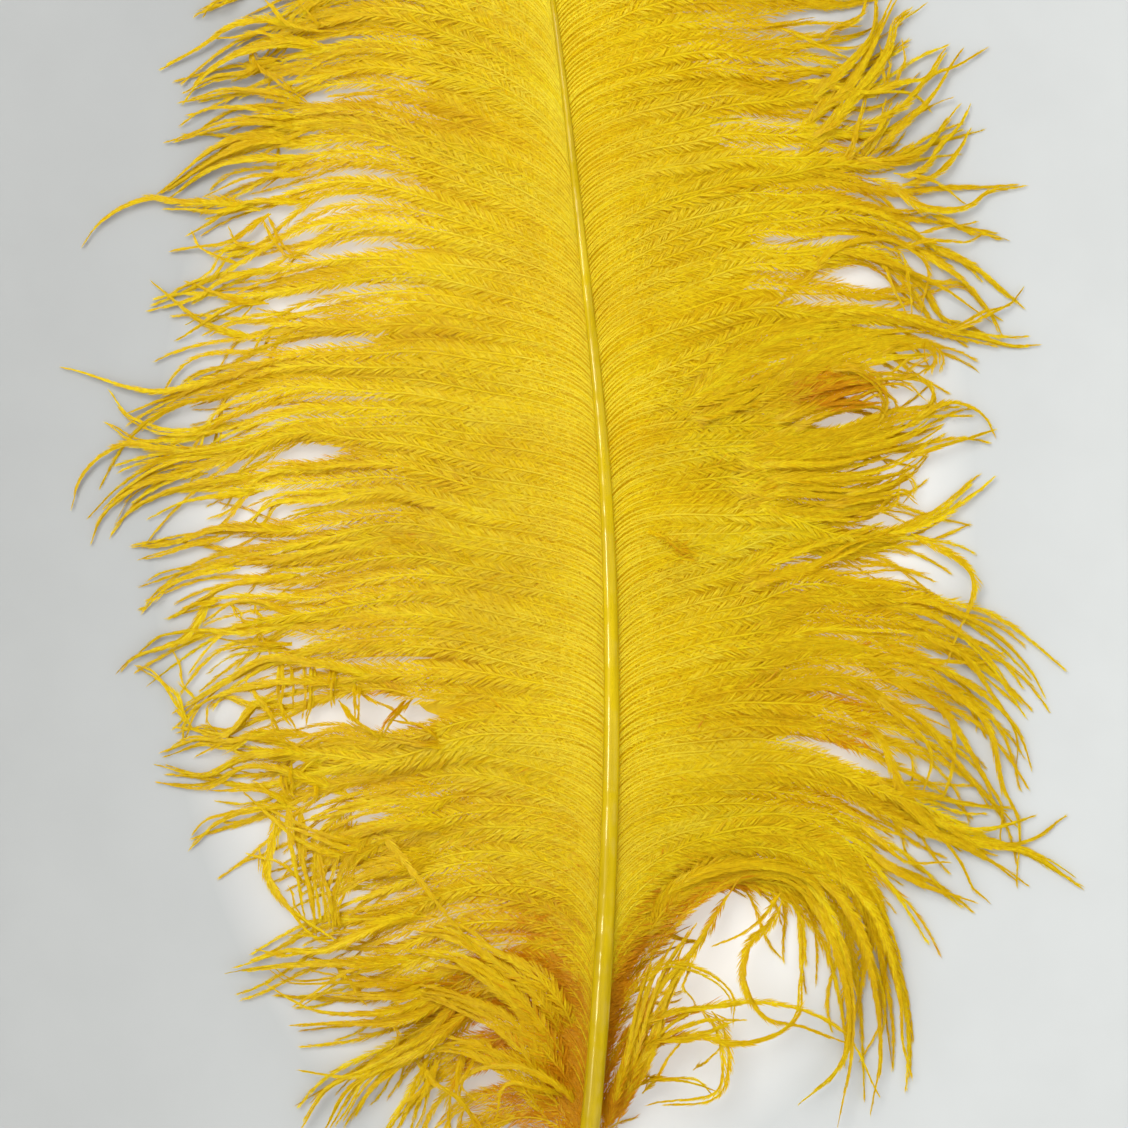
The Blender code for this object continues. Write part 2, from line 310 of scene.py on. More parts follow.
# A guide: root, tip x, tip y, angle at which it leaves, angle at which it arrives, and at times the
# share of the way over which each angle holds. Angles are from straight out, towards the tip.
LEFT_GUIDES = (
    (412, -27, 462, 72, 78), (402, -52, 453, 60, 38), (391, -75, 439, 53, 14),
    (380, -92, 421, 49, 2), (369, -101, 402, 46, -12), (357, -99, 384, 44, -22),
    (346, -103, 366, 44, -25), (333, -92, 343, 44, -20), (312, -100, 329, 46, -32),
    (301, -96, 322, 42, -14), (292, -97, 313, 35, -12), (283, -101, 299, 30, -42),
    (275, -93, 288, 27, -38), (266, -104, 269, 24, -14), (259, -97, 262, 22, -32),
    (252, -108, 251, 19, -34), (244, -112, 242, 17, -14), (235, -124, 220, 12, -58),
    (227, -113, 229, 13, -10), (219, -119, 214, 12, -45), (211, -112, 216, 12, -28),
    (202, -108, 209, 14, -4), (194, -106, 196, 15, -30), (187, -98, 192, 15, -24),
    (180, -112, 178, 15, -30), (170, -98, 164, 14, -42), (162, -101, 158, 10, -12),
    (154, -102, 151, 13, 8), (146, -96, 149, 20, -6), (136, -93, 134, 32, -34),
    (126, -78, 129, 42, 8), (117, -66, 121, 52, -34), (108, -81, 105, 60, -20),
    (99, -84, 102, 66, -12), (90, -74, 98, 70, 20, 0.42), (83, -67, 89, 74, 4, 0.46),
    (76, -66, 64, 76, -48, 0.48), (69, -56, 62, 78, -62, 0.52), (61, -44, 58, 79, -68, 0.56),
    (53, -36, 50, 80, -74, 0.6), (45, -26, 42, 80, -80, 0.62),
)
RIGHT_GUIDES = (
    (412, -3, 464, 74, 84), (402, 24, 457, 62, 58), (391, 48, 445, 50, 44), (380, 66, 430, 46, 40),
    (369, 80, 412, 42, 40), (357, 87, 396, 40, 40), (346, 90, 379, 38, 38), (335, 88, 362, 38, 34),
    (325, 90, 346, 36, 14), (316, 86, 337, 36, 34), (307, 96, 334, 34, 30), (298, 99, 320, 36, 24),
    (291, 103, 314, 38, 30), (284, 115, 300, 38, 4), (276, 111, 287, 38, -14),
    (268, 115, 269, 36, -42), (259, 108, 264, 32, -48), (251, 119, 260, 28, -8),
    (242, 92, 252, 26, -60), (234, 96, 245, 20, 22), (226, 109, 238, 17, 6), (218, 90, 229, 16, -8),
    (210, 108, 228, 16, 52), (202, 106, 220, 17, 28), (194, 105, 206, 18, -34),
    (186, 94, 199, 19, -38), (178, 121, 172, 19, -56), (171, 116, 166, 16, -54),
    (164, 119, 154, 14, -62), (157, 112, 126, 15, -86), (150, 109, 142, 17, -8),
    (143, 130, 124, 20, -30), (137, 107, 132, 23, -22), (131, 102, 117, 26, -36),
    (124, 92, 108, 34, -66, 0.44), (118, 88, 80, 40, -94, 0.6), (111, 84, 70, 48, -100, 0.66),
    (104, 78, 70, 57, -94, 0.72), (97, 76, 84, 65, -90, 0.66), (90, 71, 103, 69, -74, 0.6),
    (83, 61, 118, 72, -52, 0.54), (75, 49, 126, 74, -24, 0.48), (67, 37, 121, 76, 4, 0.44),
    (60, 26, 98, 77, 30, 0.4), (52, 20, 80, 77, 40), (45, 14, 62, 75, 42),
)
# A loose strand: how many barbs it has, then x and y of points of its way, from inside the plume to
# its tip.
LEFT_LOOSE = (
    (2, -76, 254, -84, 252, -100, 248, -126, 254), (2, -76, 241, -104, 240, -110, 243, -114, 248),
    (2, -86, 238, -110, 237, -115, 240), (2, -85, 233, -102, 234, -110, 235, -122, 226, -124, 220),
    (3, -81, 234, -98, 232, -113, 223, -119, 217), (2, -88, 228, -106, 225, -117, 216, -119, 211),
    (2, -74, 228, -100, 223, -107, 220, -112, 216), (2, -74, 224, -98, 220, -104, 217),
    (4, -64, 213, -86, 214, -100, 210, -108, 209), (2, -85, 212, -92, 210, -106, 206),
    (2, -70, 207, -86, 206, -106, 200), (2, -80, 205, -88, 204, -101, 199, -106, 194),
    (2, -66, 203, -87, 199, -98, 192),
    (3, -56, 188, -62, 190, -79, 188, -96, 188, -101, 187, -108, 182),
    (3, -88, 198, -95, 187, -110, 180, -112, 178), (2, -88, 188, -97, 185, -106, 182),
    (2, -63, 190, -84, 194, -90, 190), (1, -99, 198, -103, 196, -106, 194),
    (2, -86, 196, -95, 194, -98, 192), (2, -68, 185, -79, 185, -86, 186),
    (2, -68, 184, -81, 184, -85, 183), (2, -94, 163, -101, 175, -107, 179),
    (1, -92, 169, -96, 175, -98, 182),
    (4, -38, 171, -56, 179, -62, 180, -74, 181, -87, 174, -98, 168),
    (2, -46, 172, -51, 174, -56, 175, -81, 174, -91, 170, -98, 164),
    (2, -87, 172, -78, 170, -69, 172), (1, -90, 170, -90, 166, -88, 163),
    (2, -92, 170, -94, 167, -96, 161), (3, -68, 168, -76, 170, -86, 162, -95, 164),
    (3, -66, 159, -77, 162, -83, 161, -93, 161, -101, 158),
    (3, -62, 162, -79, 162, -82, 160, -91, 160, -100, 157), (1, -83, 162, -90, 158, -92, 157),
    (3, -62, 158, -68, 158, -82, 158, -88, 162),
    (3, -56, 152, -68, 157, -80, 156, -90, 152, -102, 154),
    (3, -50, 145, -62, 151, -80, 154, -89, 150, -102, 150), (2, -66, 144, -75, 148, -88, 148),
    (2, -65, 143, -74, 144, -87, 140, -94, 134), (1, -80, 143, -91, 139, -93, 137),
    (2, -47, 130, -65, 135, -80, 147), (1, -68, 143, -74, 148, -77, 150),
    (2, -44, 133, -59, 136, -77, 144), (2, -72, 144, -73, 123, -66, 116, -58, 111),
    (2, -76, 134, -75, 129, -68, 118, -62, 112, -57, 110), (1, -64, 124, -71, 130, -79, 132),
    (2, -70, 146, -67, 126, -65, 116), (2, -66, 145, -65, 133, -62, 116),
    (3, -68, 142, -64, 124, -62, 112), (2, -64, 136, -60, 125, -58, 115),
    (1, -69, 125, -67, 120, -66, 116), (2, -71, 154, -70, 149, -68, 146),
    (2, -68, 156, -68, 152, -68, 148), (2, -62, 151, -63, 148, -65, 146),
    (3, -71, 182, -70, 167, -68, 164), (3, -64, 182, -64, 171, -65, 166),
    (3, -58, 180, -58, 174, -58, 170), (3, -52, 177, -52, 172, -52, 166),
    (2, -69, 181, -68, 176, -68, 170), (2, -80, 176, -74, 168, -71, 163),
    (2, -76, 172, -73, 166, -71, 162), (2, -84, 196, -82, 193, -80, 190),
    (2, -79, 195, -77, 192, -76, 189), (2, -78, 189, -76, 186, -72, 182),
    (3, -38, 172, -44, 165, -46, 161), (1, -51, 174, -44, 170, -38, 166),
    (2, -24, 160, -35, 160, -47, 162), (2, -28, 160, -36, 165, -42, 166),
    (3, -57, 171, -52, 166, -45, 161), (1, -50, 143, -35, 125, -21, 108),
    (2, -80, 348, -89, 345, -92, 343), (2, -64, 337, -73, 341, -83, 340, -91, 335, -101, 330),
    (1, -62, 336, -82, 338, -88, 337), (3, -57, 334, -69, 336, -93, 326, -96, 322),
    (3, -70, 332, -75, 331, -79, 329, -88, 327, -95, 324), (2, -63, 320, -79, 324, -96, 322),
    (2, -80, 336, -79, 333, -66, 322), (1, -66, 318, -93, 318, -96, 316),
    (2, -66, 317, -72, 317, -83, 317), (3, -62, 315, -82, 316, -100, 311),
    (2, -64, 315, -86, 311, -102, 299), (4, -62, 310, -75, 311, -101, 299),
    (4, -62, 307, -91, 303, -99, 297), (1, -64, 303, -79, 302, -90, 298),
    (2, -75, 294, -86, 296, -97, 296, -102, 297, -119, 289, -121, 286),
    (2, -76, 295, -86, 293, -100, 294), (2, -63, 296, -81, 295, -94, 288),
    (2, -72, 295, -83, 287, -98, 284), (2, -76, 293, -69, 283, -65, 282),
    (1, -81, 281, -91, 285, -93, 288), (1, -74, 283, -82, 286, -84, 289),
    (2, -68, 280, -86, 276, -91, 273, -104, 269), (3, -77, 262, -90, 266, -103, 276),
    (2, -76, 286, -85, 283, -88, 279, -99, 273), (2, -74, 271, -79, 271, -95, 276),
    (2, -76, 272, -81, 271, -97, 262), (2, -67, 268, -86, 265, -90, 263),
    (1, -76, 348, -67, 340, -58, 339), (1, -58, 340, -61, 341, -66, 346),
    (4, -34, 106, -72, 104, -84, 102), (3, -30, 116, -42, 116, -62, 108, -68, 108, -82, 104),
    (2, -62, 109, -70, 107, -77, 108), (1, -57, 111, -64, 112, -68, 112),
    (2, -30, 102, -46, 100, -53, 101, -70, 101, -73, 103), (2, -25, 99, -39, 94, -62, 93, -75, 99),
    (2, -38, 105, -50, 104, -67, 94), (1, -50, 94, -53, 100, -64, 103),
    (2, -58, 106, -54, 101, -50, 95), (2, -29, 100, -35, 98, -61, 97),
    (1, -31, 102, -42, 98, -53, 98), (3, -25, 98, -35, 93, -68, 89), (2, -44, 92, -42, 88, -42, 85),
    (4, -18, 100, -25, 96, -35, 87, -47, 80, -60, 73, -66, 64),
    (4, -16, 96, -23, 93, -34, 85, -55, 72, -60, 63), (3, -21, 95, -38, 82, -50, 76, -58, 64),
    (2, -41, 84, -50, 78, -66, 78), (2, -36, 84, -47, 77, -56, 64), (2, -38, 82, -48, 74, -53, 66),
    (2, -31, 81, -36, 73, -38, 71, -44, 63), (1, -34, 83, -37, 77, -41, 66),
    (2, 4, 66, 2, 71, -11, 80, -25, 76, -26, 72), (1, 0, 71, -4, 74, -14, 75, -17, 67),
    (1, -21, 84, -25, 74, -23, 72), (3, -38, 81, -34, 77, -25, 70, -22, 64),
    (2, -24, 84, -26, 74, -20, 64), (5, -31, 220, -41, 221, -64, 218, -70, 216),
    (5, -24, 206, -48, 211, -74, 206), (5, 2, 71, -4, 86, -13, 98, -26, 106, -41, 108),
    (5, 2, 66, -6, 80, -16, 91, -28, 96, -41, 98), (5, 0, 64, -8, 75, -28, 85, -38, 84),
    (5, 3, 81, -2, 94, -24, 111, -38, 115), (5, -21, 146, -54, 144, -66, 140),
    (5, -21, 142, -34, 142, -56, 138, -66, 133), (5, -54, 144, -61, 125, -60, 115),
    (5, -46, 140, -53, 132, -57, 123, -58, 114), (5, -30, 130, -50, 126, -59, 120),
)
RIGHT_LOOSE = (
    (1, 10, 77, 19, 88, 32, 94, 44, 96, 59, 94, 70, 88, 79, 72), (1, 43, 126, 24, 96, 15, 79),
    (1, 56, 124, 50, 117, 38, 110), (2, 55, 122, 52, 116, 46, 111, 44, 105, 50, 92, 59, 89, 69, 85),
    (2, 15, 78, 19, 84, 32, 88, 43, 86, 58, 93, 59, 100, 60, 110),
    (2, 12, 94, 25, 106, 42, 96, 42, 91), (1, 32, 106, 30, 100, 32, 96),
    (3, 15, 80, 32, 94, 35, 95), (2, 34, 95, 38, 91, 39, 74, 22, 70),
    (2, 10, 68, 26, 88, 34, 91, 44, 91), (1, 19, 72, 25, 81, 30, 88), (1, 32, 78, 36, 82, 40, 86),
    (1, 19, 77, 34, 76, 37, 73), (1, 65, 116, 66, 108, 67, 104),
    (3, 56, 130, 66, 114, 68, 78, 59, 70), (3, 49, 130, 62, 124, 69, 111, 72, 96, 72, 81, 69, 65),
    (3, 54, 131, 66, 124, 78, 96, 79, 81, 77, 68), (2, 59, 132, 72, 124, 84, 96, 85, 84, 87, 77),
    (2, 72, 195, 89, 196, 119, 176, 121, 172), (2, 72, 194, 92, 192, 106, 181, 116, 167),
    (2, 86, 213, 102, 202, 96, 181), (1, 84, 181, 96, 180, 105, 180, 110, 182),
    (2, 84, 190, 92, 186, 100, 182, 106, 174, 114, 160, 114, 154),
    (2, 82, 186, 90, 182, 115, 162, 118, 154),
    (2, 76, 188, 96, 174, 105, 166, 111, 148, 114, 142, 114, 125),
    (3, 72, 184, 79, 178, 92, 171, 106, 151, 110, 144, 110, 136),
    (2, 69, 178, 76, 174, 89, 167, 103, 151, 114, 139), (2, 84, 178, 96, 168, 96, 148, 95, 146),
    (2, 72, 176, 79, 171, 92, 156, 90, 147),
    (2, 66, 172, 79, 160, 83, 151, 100, 128, 102, 124, 106, 120), (2, 76, 150, 96, 146, 111, 143),
    (2, 85, 143, 104, 138, 118, 141), (2, 82, 147, 92, 142, 102, 136, 119, 136, 126, 141),
    (3, 88, 142, 96, 137, 118, 132, 130, 124), (2, 79, 142, 108, 130, 116, 124),
    (3, 74, 154, 84, 146, 94, 137, 108, 132), (1, 72, 142, 79, 136, 85, 131, 96, 130),
    (2, 76, 134, 84, 128, 103, 120), (2, 76, 302, 82, 300, 89, 295, 102, 295, 106, 298, 115, 300),
    (1, 82, 303, 94, 300, 100, 296), (2, 92, 293, 102, 289, 111, 287),
    (1, 82, 284, 96, 286, 102, 286, 106, 288), (1, 88, 288, 99, 290, 103, 291),
    (2, 90, 286, 102, 280, 115, 270), (2, 93, 262, 103, 266, 113, 271, 115, 274),
    (3, 54, 268, 68, 269, 102, 263, 113, 260, 119, 260), (2, 88, 285, 98, 278, 108, 267, 110, 263),
    (2, 54, 271, 61, 277, 67, 283, 82, 286, 91, 280, 90, 269), (1, 79, 284, 82, 276, 86, 268),
    (1, 86, 284, 87, 280, 88, 268), (2, 54, 284, 68, 284, 93, 276, 107, 267),
    (1, 85, 252, 91, 257, 91, 260), (1, 92, 242, 91, 251, 88, 252),
    (2, 85, 238, 98, 245, 106, 241, 108, 238), (2, 84, 232, 98, 236, 108, 239),
    (1, 69, 258, 80, 250, 81, 245, 79, 240), (2, 54, 240, 62, 243, 81, 245),
    (2, 64, 338, 75, 344, 76, 349), (1, 64, 336, 71, 340, 74, 340), (4, 59, 319, 78, 340, 79, 348),
    (4, 59, 312, 64, 318, 69, 322, 84, 348), (4, 59, 306, 71, 320, 82, 336, 83, 340, 90, 346),
    (1, 79, 336, 80, 326, 79, 323), (1, 81, 324, 82, 327, 82, 334), (1, 84, 323, 86, 333, 86, 336),
    (3, 72, 322, 86, 326, 90, 327, 96, 334), (2, 76, 307, 90, 320, 100, 334),
    (2, 67, 313, 84, 320, 92, 328, 99, 331, 106, 335),
    (3, 59, 327, 68, 325, 72, 324, 90, 322, 92, 320), (2, 68, 304, 70, 306, 76, 323),
    (3, 74, 306, 78, 312, 84, 321), (2, 74, 306, 80, 317, 81, 321), (2, 60, 310, 68, 316, 74, 323),
    (4, 69, 308, 78, 306, 88, 308, 99, 320), (3, 84, 302, 90, 304, 94, 309, 100, 316, 102, 320),
    (3, 84, 300, 92, 302, 100, 310, 102, 314), (2, 87, 302, 90, 304, 96, 312),
    (1, 94, 292, 98, 290, 102, 288),
    (5, 34, 237, 49, 246, 74, 260, 84, 261, 92, 260, 94, 257, 92, 253),
    (5, 35, 234, 50, 243, 85, 258, 92, 258, 92, 254),
    (5, 37, 238, 52, 248, 64, 257, 87, 262, 93, 262),
    (3, 44, 240, 72, 251, 82, 252, 92, 249, 93, 246, 90, 244),
    (3, 45, 238, 72, 248, 86, 250, 90, 247), (3, 46, 238, 72, 246, 79, 248, 83, 245, 82, 242),
    (3, 49, 236, 72, 244, 79, 244, 81, 242), (1, 62, 242, 72, 244, 79, 247, 80, 242),
    (2, 64, 256, 73, 254, 81, 246, 80, 242), (3, 62, 253, 72, 253, 80, 245, 79, 242),
    (1, 76, 256, 85, 260, 90, 258), (1, 80, 252, 85, 256, 92, 258), (1, 82, 250, 88, 252, 92, 254),
    (5, 34, 233, 49, 236, 64, 236, 86, 242, 102, 244),
    (5, 34, 230, 49, 234, 64, 234, 90, 241, 94, 244),
    (3, 35, 228, 52, 230, 66, 230, 79, 233, 89, 236, 94, 239), (3, 36, 226, 88, 233, 92, 236),
    (3, 37, 224, 54, 226, 69, 226, 88, 230, 92, 234), (3, 38, 221, 54, 223, 79, 224, 88, 230),
    (2, 64, 221, 82, 225, 86, 227, 88, 224, 86, 221), (3, 59, 218, 80, 222, 85, 223, 88, 221),
    (2, 72, 216, 83, 221, 84, 224), (1, 74, 216, 80, 220, 83, 223), (1, 18, 216, 21, 213, 32, 207),
    (5, 19, 241, 56, 260, 82, 263), (5, 19, 238, 59, 257, 72, 260), (5, 22, 236, 35, 242, 59, 253),
    (4, 10, 64, 14, 76, 23, 104, 27, 111), (4, 11, 64, 16, 77, 26, 106, 32, 115),
    (4, 12, 64, 19, 78, 29, 108), (3, 10, 64, 14, 74, 19, 98, 22, 107),
    (2, 14, 78, 24, 100, 31, 108, 43, 126), (3, 12, 84, 19, 91, 46, 96),
    (3, 12, 80, 19, 86, 34, 88, 42, 91), (2, 18, 74, 22, 77, 32, 76, 37, 74),
    (5, 19, 106, 29, 120, 52, 129, 64, 126), (5, 16, 105, 25, 117, 34, 126, 59, 126, 66, 116),
    (3, 17, 111, 26, 124, 49, 130, 62, 125, 68, 114), (5, 19, 244, 32, 250, 54, 263, 79, 266),
    (5, 20, 240, 32, 246, 53, 258, 63, 260), (4, 10, 64, 21, 100, 24, 107),
    (4, 12, 64, 27, 100, 30, 106), (5, 44, 244, 64, 248, 81, 250),
    (5, 45, 246, 66, 252, 75, 252, 82, 248), (5, 34, 196, 46, 200, 82, 214),
    (5, 36, 186, 74, 198, 85, 198), (5, 34, 176, 72, 184, 83, 180),
    (5, 40, 170, 64, 177, 76, 173, 85, 166), (5, 41, 180, 66, 186, 79, 182, 87, 174),
    (5, 42, 190, 69, 196, 81, 195, 90, 188), (5, 32, 235, 48, 234, 74, 238, 84, 242),
    (5, 32, 230, 62, 228, 74, 230, 85, 234), (5, 32, 225, 74, 224, 85, 228),
    (5, 32, 220, 74, 218, 83, 221),
)
PARTINGS = (
    Parting(-44.0, 168.0, 14.5, 5.2, -30.0),
    Parting(-67.0, 186.0, 3.5, 2.2, 0.0),
    Parting(-84.0, 168.0, 5.5, 3.4, 0.0),
    Parting(-64.0, 233.5, 11.0, 2.6, -8.0),
    Parting(-71.0, 218.0, 7.0, 2.4, -12.0),
    Parting(75.5, 276.8, 9.0, 3.4, -6.0),
    Parting(97.8, 271.0, 7.0, 4.6, -30.0),
    Parting(69.0, 240.2, 10.0, 1.4, 2.0),
    Parting(53.0, 286.5, 6.5, 1.6, 5.0),
    Parting(-19.8, 89.0, 7.0, 2.2, 12.0),
    Parting(-16.0, 76.5, 12.0, 3.0, 4.0),
)
# Patches of painted shade, in tones: the insides of folds and hollows, and wider, weaker ones that
# deepen whole regions.
PAINTED_FOLD_SHADES = (
    PaintedFoldShade(68.0, 248.0, 15.0, 6.0, 4.0, depth=2.2),
    PaintedFoldShade(68.0, 161.0, 8.0, 3.0, 10.0, depth=1.0),
    PaintedFoldShade(34.0, 120.0, 14.0, 6.0, 40.0, depth=1.5),
    PaintedFoldShade(27.0, 209.5, 6.0, 1.2, -32.0, depth=1.6),
    PaintedFoldShade(-41.0, 170.0, 9.0, 5.0, -30.0, depth=1.2),
    PaintedFoldShade(-14.0, 84.0, 34.0, 16.0, 75.0, depth=0.9),
    PaintedFoldShade(16.0, 82.0, 32.0, 12.0, 75.0, depth=1.2),
    PaintedFoldShade(70.0, 182.0, 34.0, 20.0, 0.0, depth=0.5),
)


def part(lines: Array) -> Array:
    """Bends barbs round every parting.

    Args:
        lines: points as barbs x stations x 2.

    Returns:
        The bent lines.
    """
    for parting in PARTINGS:
        lines = parting.bend(lines)
    return lines


def painted_fold_shade(points: Array) -> Array:
    """How many tones of painted shade each point of the plan gets, from the folds it lies in."""
    return sum((fold.painted_shade_at(points) for fold in PAINTED_FOLD_SHADES), np.zeros(len(points)))


@dataclass(frozen=True)
class Guides:
    """The flow of one vane: rows of guide values, read at any root.

    A barb climbs beside the shaft before it leaves it, and less so high in the right vane.
    """

    rows: tuple
    side: Side
    hold: float = 0.38
    climb: float = 5.5
    climb_run: float = 4.5
    less_climb: float = 3.2
    less_run: float = 2.3
    less_range: tuple = (220.0, 300.0)

    def table(self) -> Array:
        """The guides as rows of six numbers, from the quill upwards."""
        rows = [tuple(g) + (self.hold,) * (6 - len(g)) for g in self.rows]
        return np.array(sorted(rows), float)

    def at(self, roots: Array) -> Array:
        """Reads the guides in between.

        Args:
            roots: where barbs leave the shaft.

        Returns:
            Guide values, one row of six a root.
        """
        table = self.table()
        columns = [np.interp(roots, table[:, 0], table[:, i]) for i in range(1, 6)]
        return np.stack([np.asarray(roots, float)] + columns, axis=1)

    def lines(self, rows: Array, shares: Array) -> Array:
        """Lines of barbs seen from above.

        Args:
            rows: guide values, one row of six a barb.
            shares: shares of the way, one row a barb.

        Returns:
            Points as barbs x stations x 2, in millimetres.
        """
        root, tip_x, tip_y, leave, arrive, hold = rows.T
        less = ramp(*self.less_range, root) * (self.side is Side.RIGHT)
        climb, run = self.climb - self.less_climb * less, self.climb_run - self.less_run * less
        start = np.stack([SHAFT.x(root), root + climb], axis=1)
        end = np.stack([tip_x, tip_y], axis=1)
        reach = (hold * np.linalg.norm(end - start, axis=1))[:, None]
        leave, arrive, out = np.radians(leave), np.radians(arrive), self.side.value
        first = start + reach * np.stack([out * np.cos(leave), np.sin(leave)], axis=1)
        last = end - reach * np.stack([out * np.cos(arrive), np.sin(arrive)], axis=1)
        t = shares[:, :, None]
        lines = ((1 - t)**3 * start[:, None] + 3 * t * (1 - t)**2 * first[:, None]
                 + 3 * t**2 * (1 - t) * last[:, None] + t**3 * end[:, None])
        gone = np.linalg.norm(lines - start[:, None], axis=2)
        lines[:, :, 1] -= climb[:, None] * np.exp(-gone / run[:, None])
        return lines


@dataclass(frozen=True)
class Waves:
    """Slow waves that neighbouring barbs share, stronger far from the shaft."""

    number: int = 7
    size: float = 0.42
    turn: float = 0.6
    slant: float = 0.05
    length_range: tuple = (24.0, 60.0)
    grow_range: tuple = (8.0, 60.0)

    def move(self, rng: Random, flat: Array) -> Array:
        """Bends lines by the waves.

        Args:
            rng: the source of the waves.
            flat: points as barbs x stations x 2.

        Returns:
            The bent lines.
        """
        move = np.zeros(flat.shape[:2])
        for _ in range(self.number):
            turn = rng.uniform(-self.turn, self.turn)
            wave = 2 * math.pi / rng.uniform(*self.length_range)
            place = flat[..., 0] * math.cos(turn) + flat[..., 1] * math.sin(turn)
            move += np.sin(wave * place + self.slant * flat[..., 1] + rng.uniform(*PHASES))
        grown = ramp(*self.grow_range, SHAFT.away(flat))[..., None]
        return flat + np.stack([0.0 * move, self.size * move], axis=2) * grown


@dataclass(frozen=True)
class Spread:
    """Small steps to the side that keep the barbs of one strand apart."""

    width: float = 1.15
    narrowing: float = 0.4
    wave: float = 0.4
    pace_range: tuple = (6.0, 13.0)

    def steps(self, rng: Random, shares: Array) -> Array:
        """Draws the steps.

        Args:
            rng: the source of the steps.
            shares: shares of the way, one row a barb.

        Returns:
            Millimetres to the side, one row a barb.
        """
        column = (len(shares), 1)
        wide = rng.normal(0.0, self.width, column) * (1.0 - self.narrowing * shares)
        pace = rng.uniform(*self.pace_range, column)
        return wide + rng.normal(0.0, self.wave, column) * np.sin(
            shares * pace + rng.uniform(*PHASES, column))


def beside(lines: Array, offset: Array) -> Array:
    """Moves lines sideways.

    Args:
        lines: points as barbs x stations x 2.
        offset: how far to the side, a point.

    Returns:
        The moved lines.
    """
    along = unit(np.gradient(lines, axis=1))
    square = np.stack([-along[:, :, 1], along[:, :, 0]], axis=2)
    return lines + square * offset[:, :, None]


@dataclass
class LooseBarbs:
    """Barbs of the strands listed one by one: thin ones lie on the plume, full ones fill it.

    The vane's width says where its slope ends. A lift follows part of half a wave, from its start
    over its turn.
    """

    rows: tuple
    stations: int
    spread: Spread = Spread()
    full_strand: int = 5
    full_spread: float = 1.5
    thin_spread: float = 0.45
    full_loft: float = 0.35
    thin_loft: float = 1.0
    start_range: tuple = (0.0, 0.1)
    end_range: tuple = (0.86, 0.97)
    vane_width: float = 108.0
    sunk: float = 0.50
    proud: float = 0.10
    rise_range: tuple = (0.0, 0.35)
    lift_range: tuple = (0.4, 2.0)
    lift_start: float = 0.1
    lift_turn: float = 0.85
    clear: float = 0.5

    def full(self) -> Array:
        """Whether each barb is in a full strand."""
        sizes = [row[0] for row in self.rows]
        return np.repeat(sizes, sizes) >= self.full_strand

    def lines(self, rng: Random) -> Array:
        """Lines of the barbs seen from above.

        Args:
            rng: the source of their lengths and of how they lie apart.

        Returns:
            Points as barbs x stations x 2.
        """
        made = []
        for barbs, *points in self.rows:
            points = np.array(points, float).reshape(-1, 2)
            steps = np.linalg.norm(np.diff(points, axis=0), axis=1)
            gone = np.concatenate([[0.0], np.cumsum(steps)])
            for number in range(barbs):
                end = rng.uniform(*self.end_range) if number else 1.0
                start = rng.uniform(*self.start_range)
                places = gone[-1] * np.linspace(start, end, self.stations)
                made.append(np.stack([through(tuple(zip(points[:, i], gone)), places)
                                      for i in range(2)], axis=1))
        lines = np.array(made)
        shares = np.repeat(np.linspace(0.0, 1.0, self.stations)[None, :], len(lines), axis=0)
        apart = np.where(self.full(), self.full_spread, self.thin_spread)[:, None]
        return beside(lines, apart * self.spread.steps(rng, shares))

    def heights(self, rng: Random, flat: Array) -> Array:
        """Height of each barb: up from inside the plume, over its slope and down.

        Args:
            rng: the source of their lift.
            flat: their lines seen from above.

        Returns:
            Heights in millimetres, one row a barb.
        """
        loft = np.where(self.full(), self.full_loft, self.thin_loft)[:, None]
        out = np.maximum(1.0 - SHAFT.away(flat) / self.vane_width, 0.0)
        slope = SHAFT.z(SHAFT.beside(flat)) * out**FALL
        share = np.linspace(0.0, 1.0, self.stations)
        rise = self.sunk + (1.0 - self.sunk + self.proud * loft) * ramp(*self.rise_range, share)
        lift = np.sin(math.pi * (self.lift_start + self.lift_turn * share))
        lift = rng.uniform(*self.lift_range, (len(flat), 1)) * lift
        return np.maximum(slope * rise + lift * loft + self.clear, LOWEST_BARB)


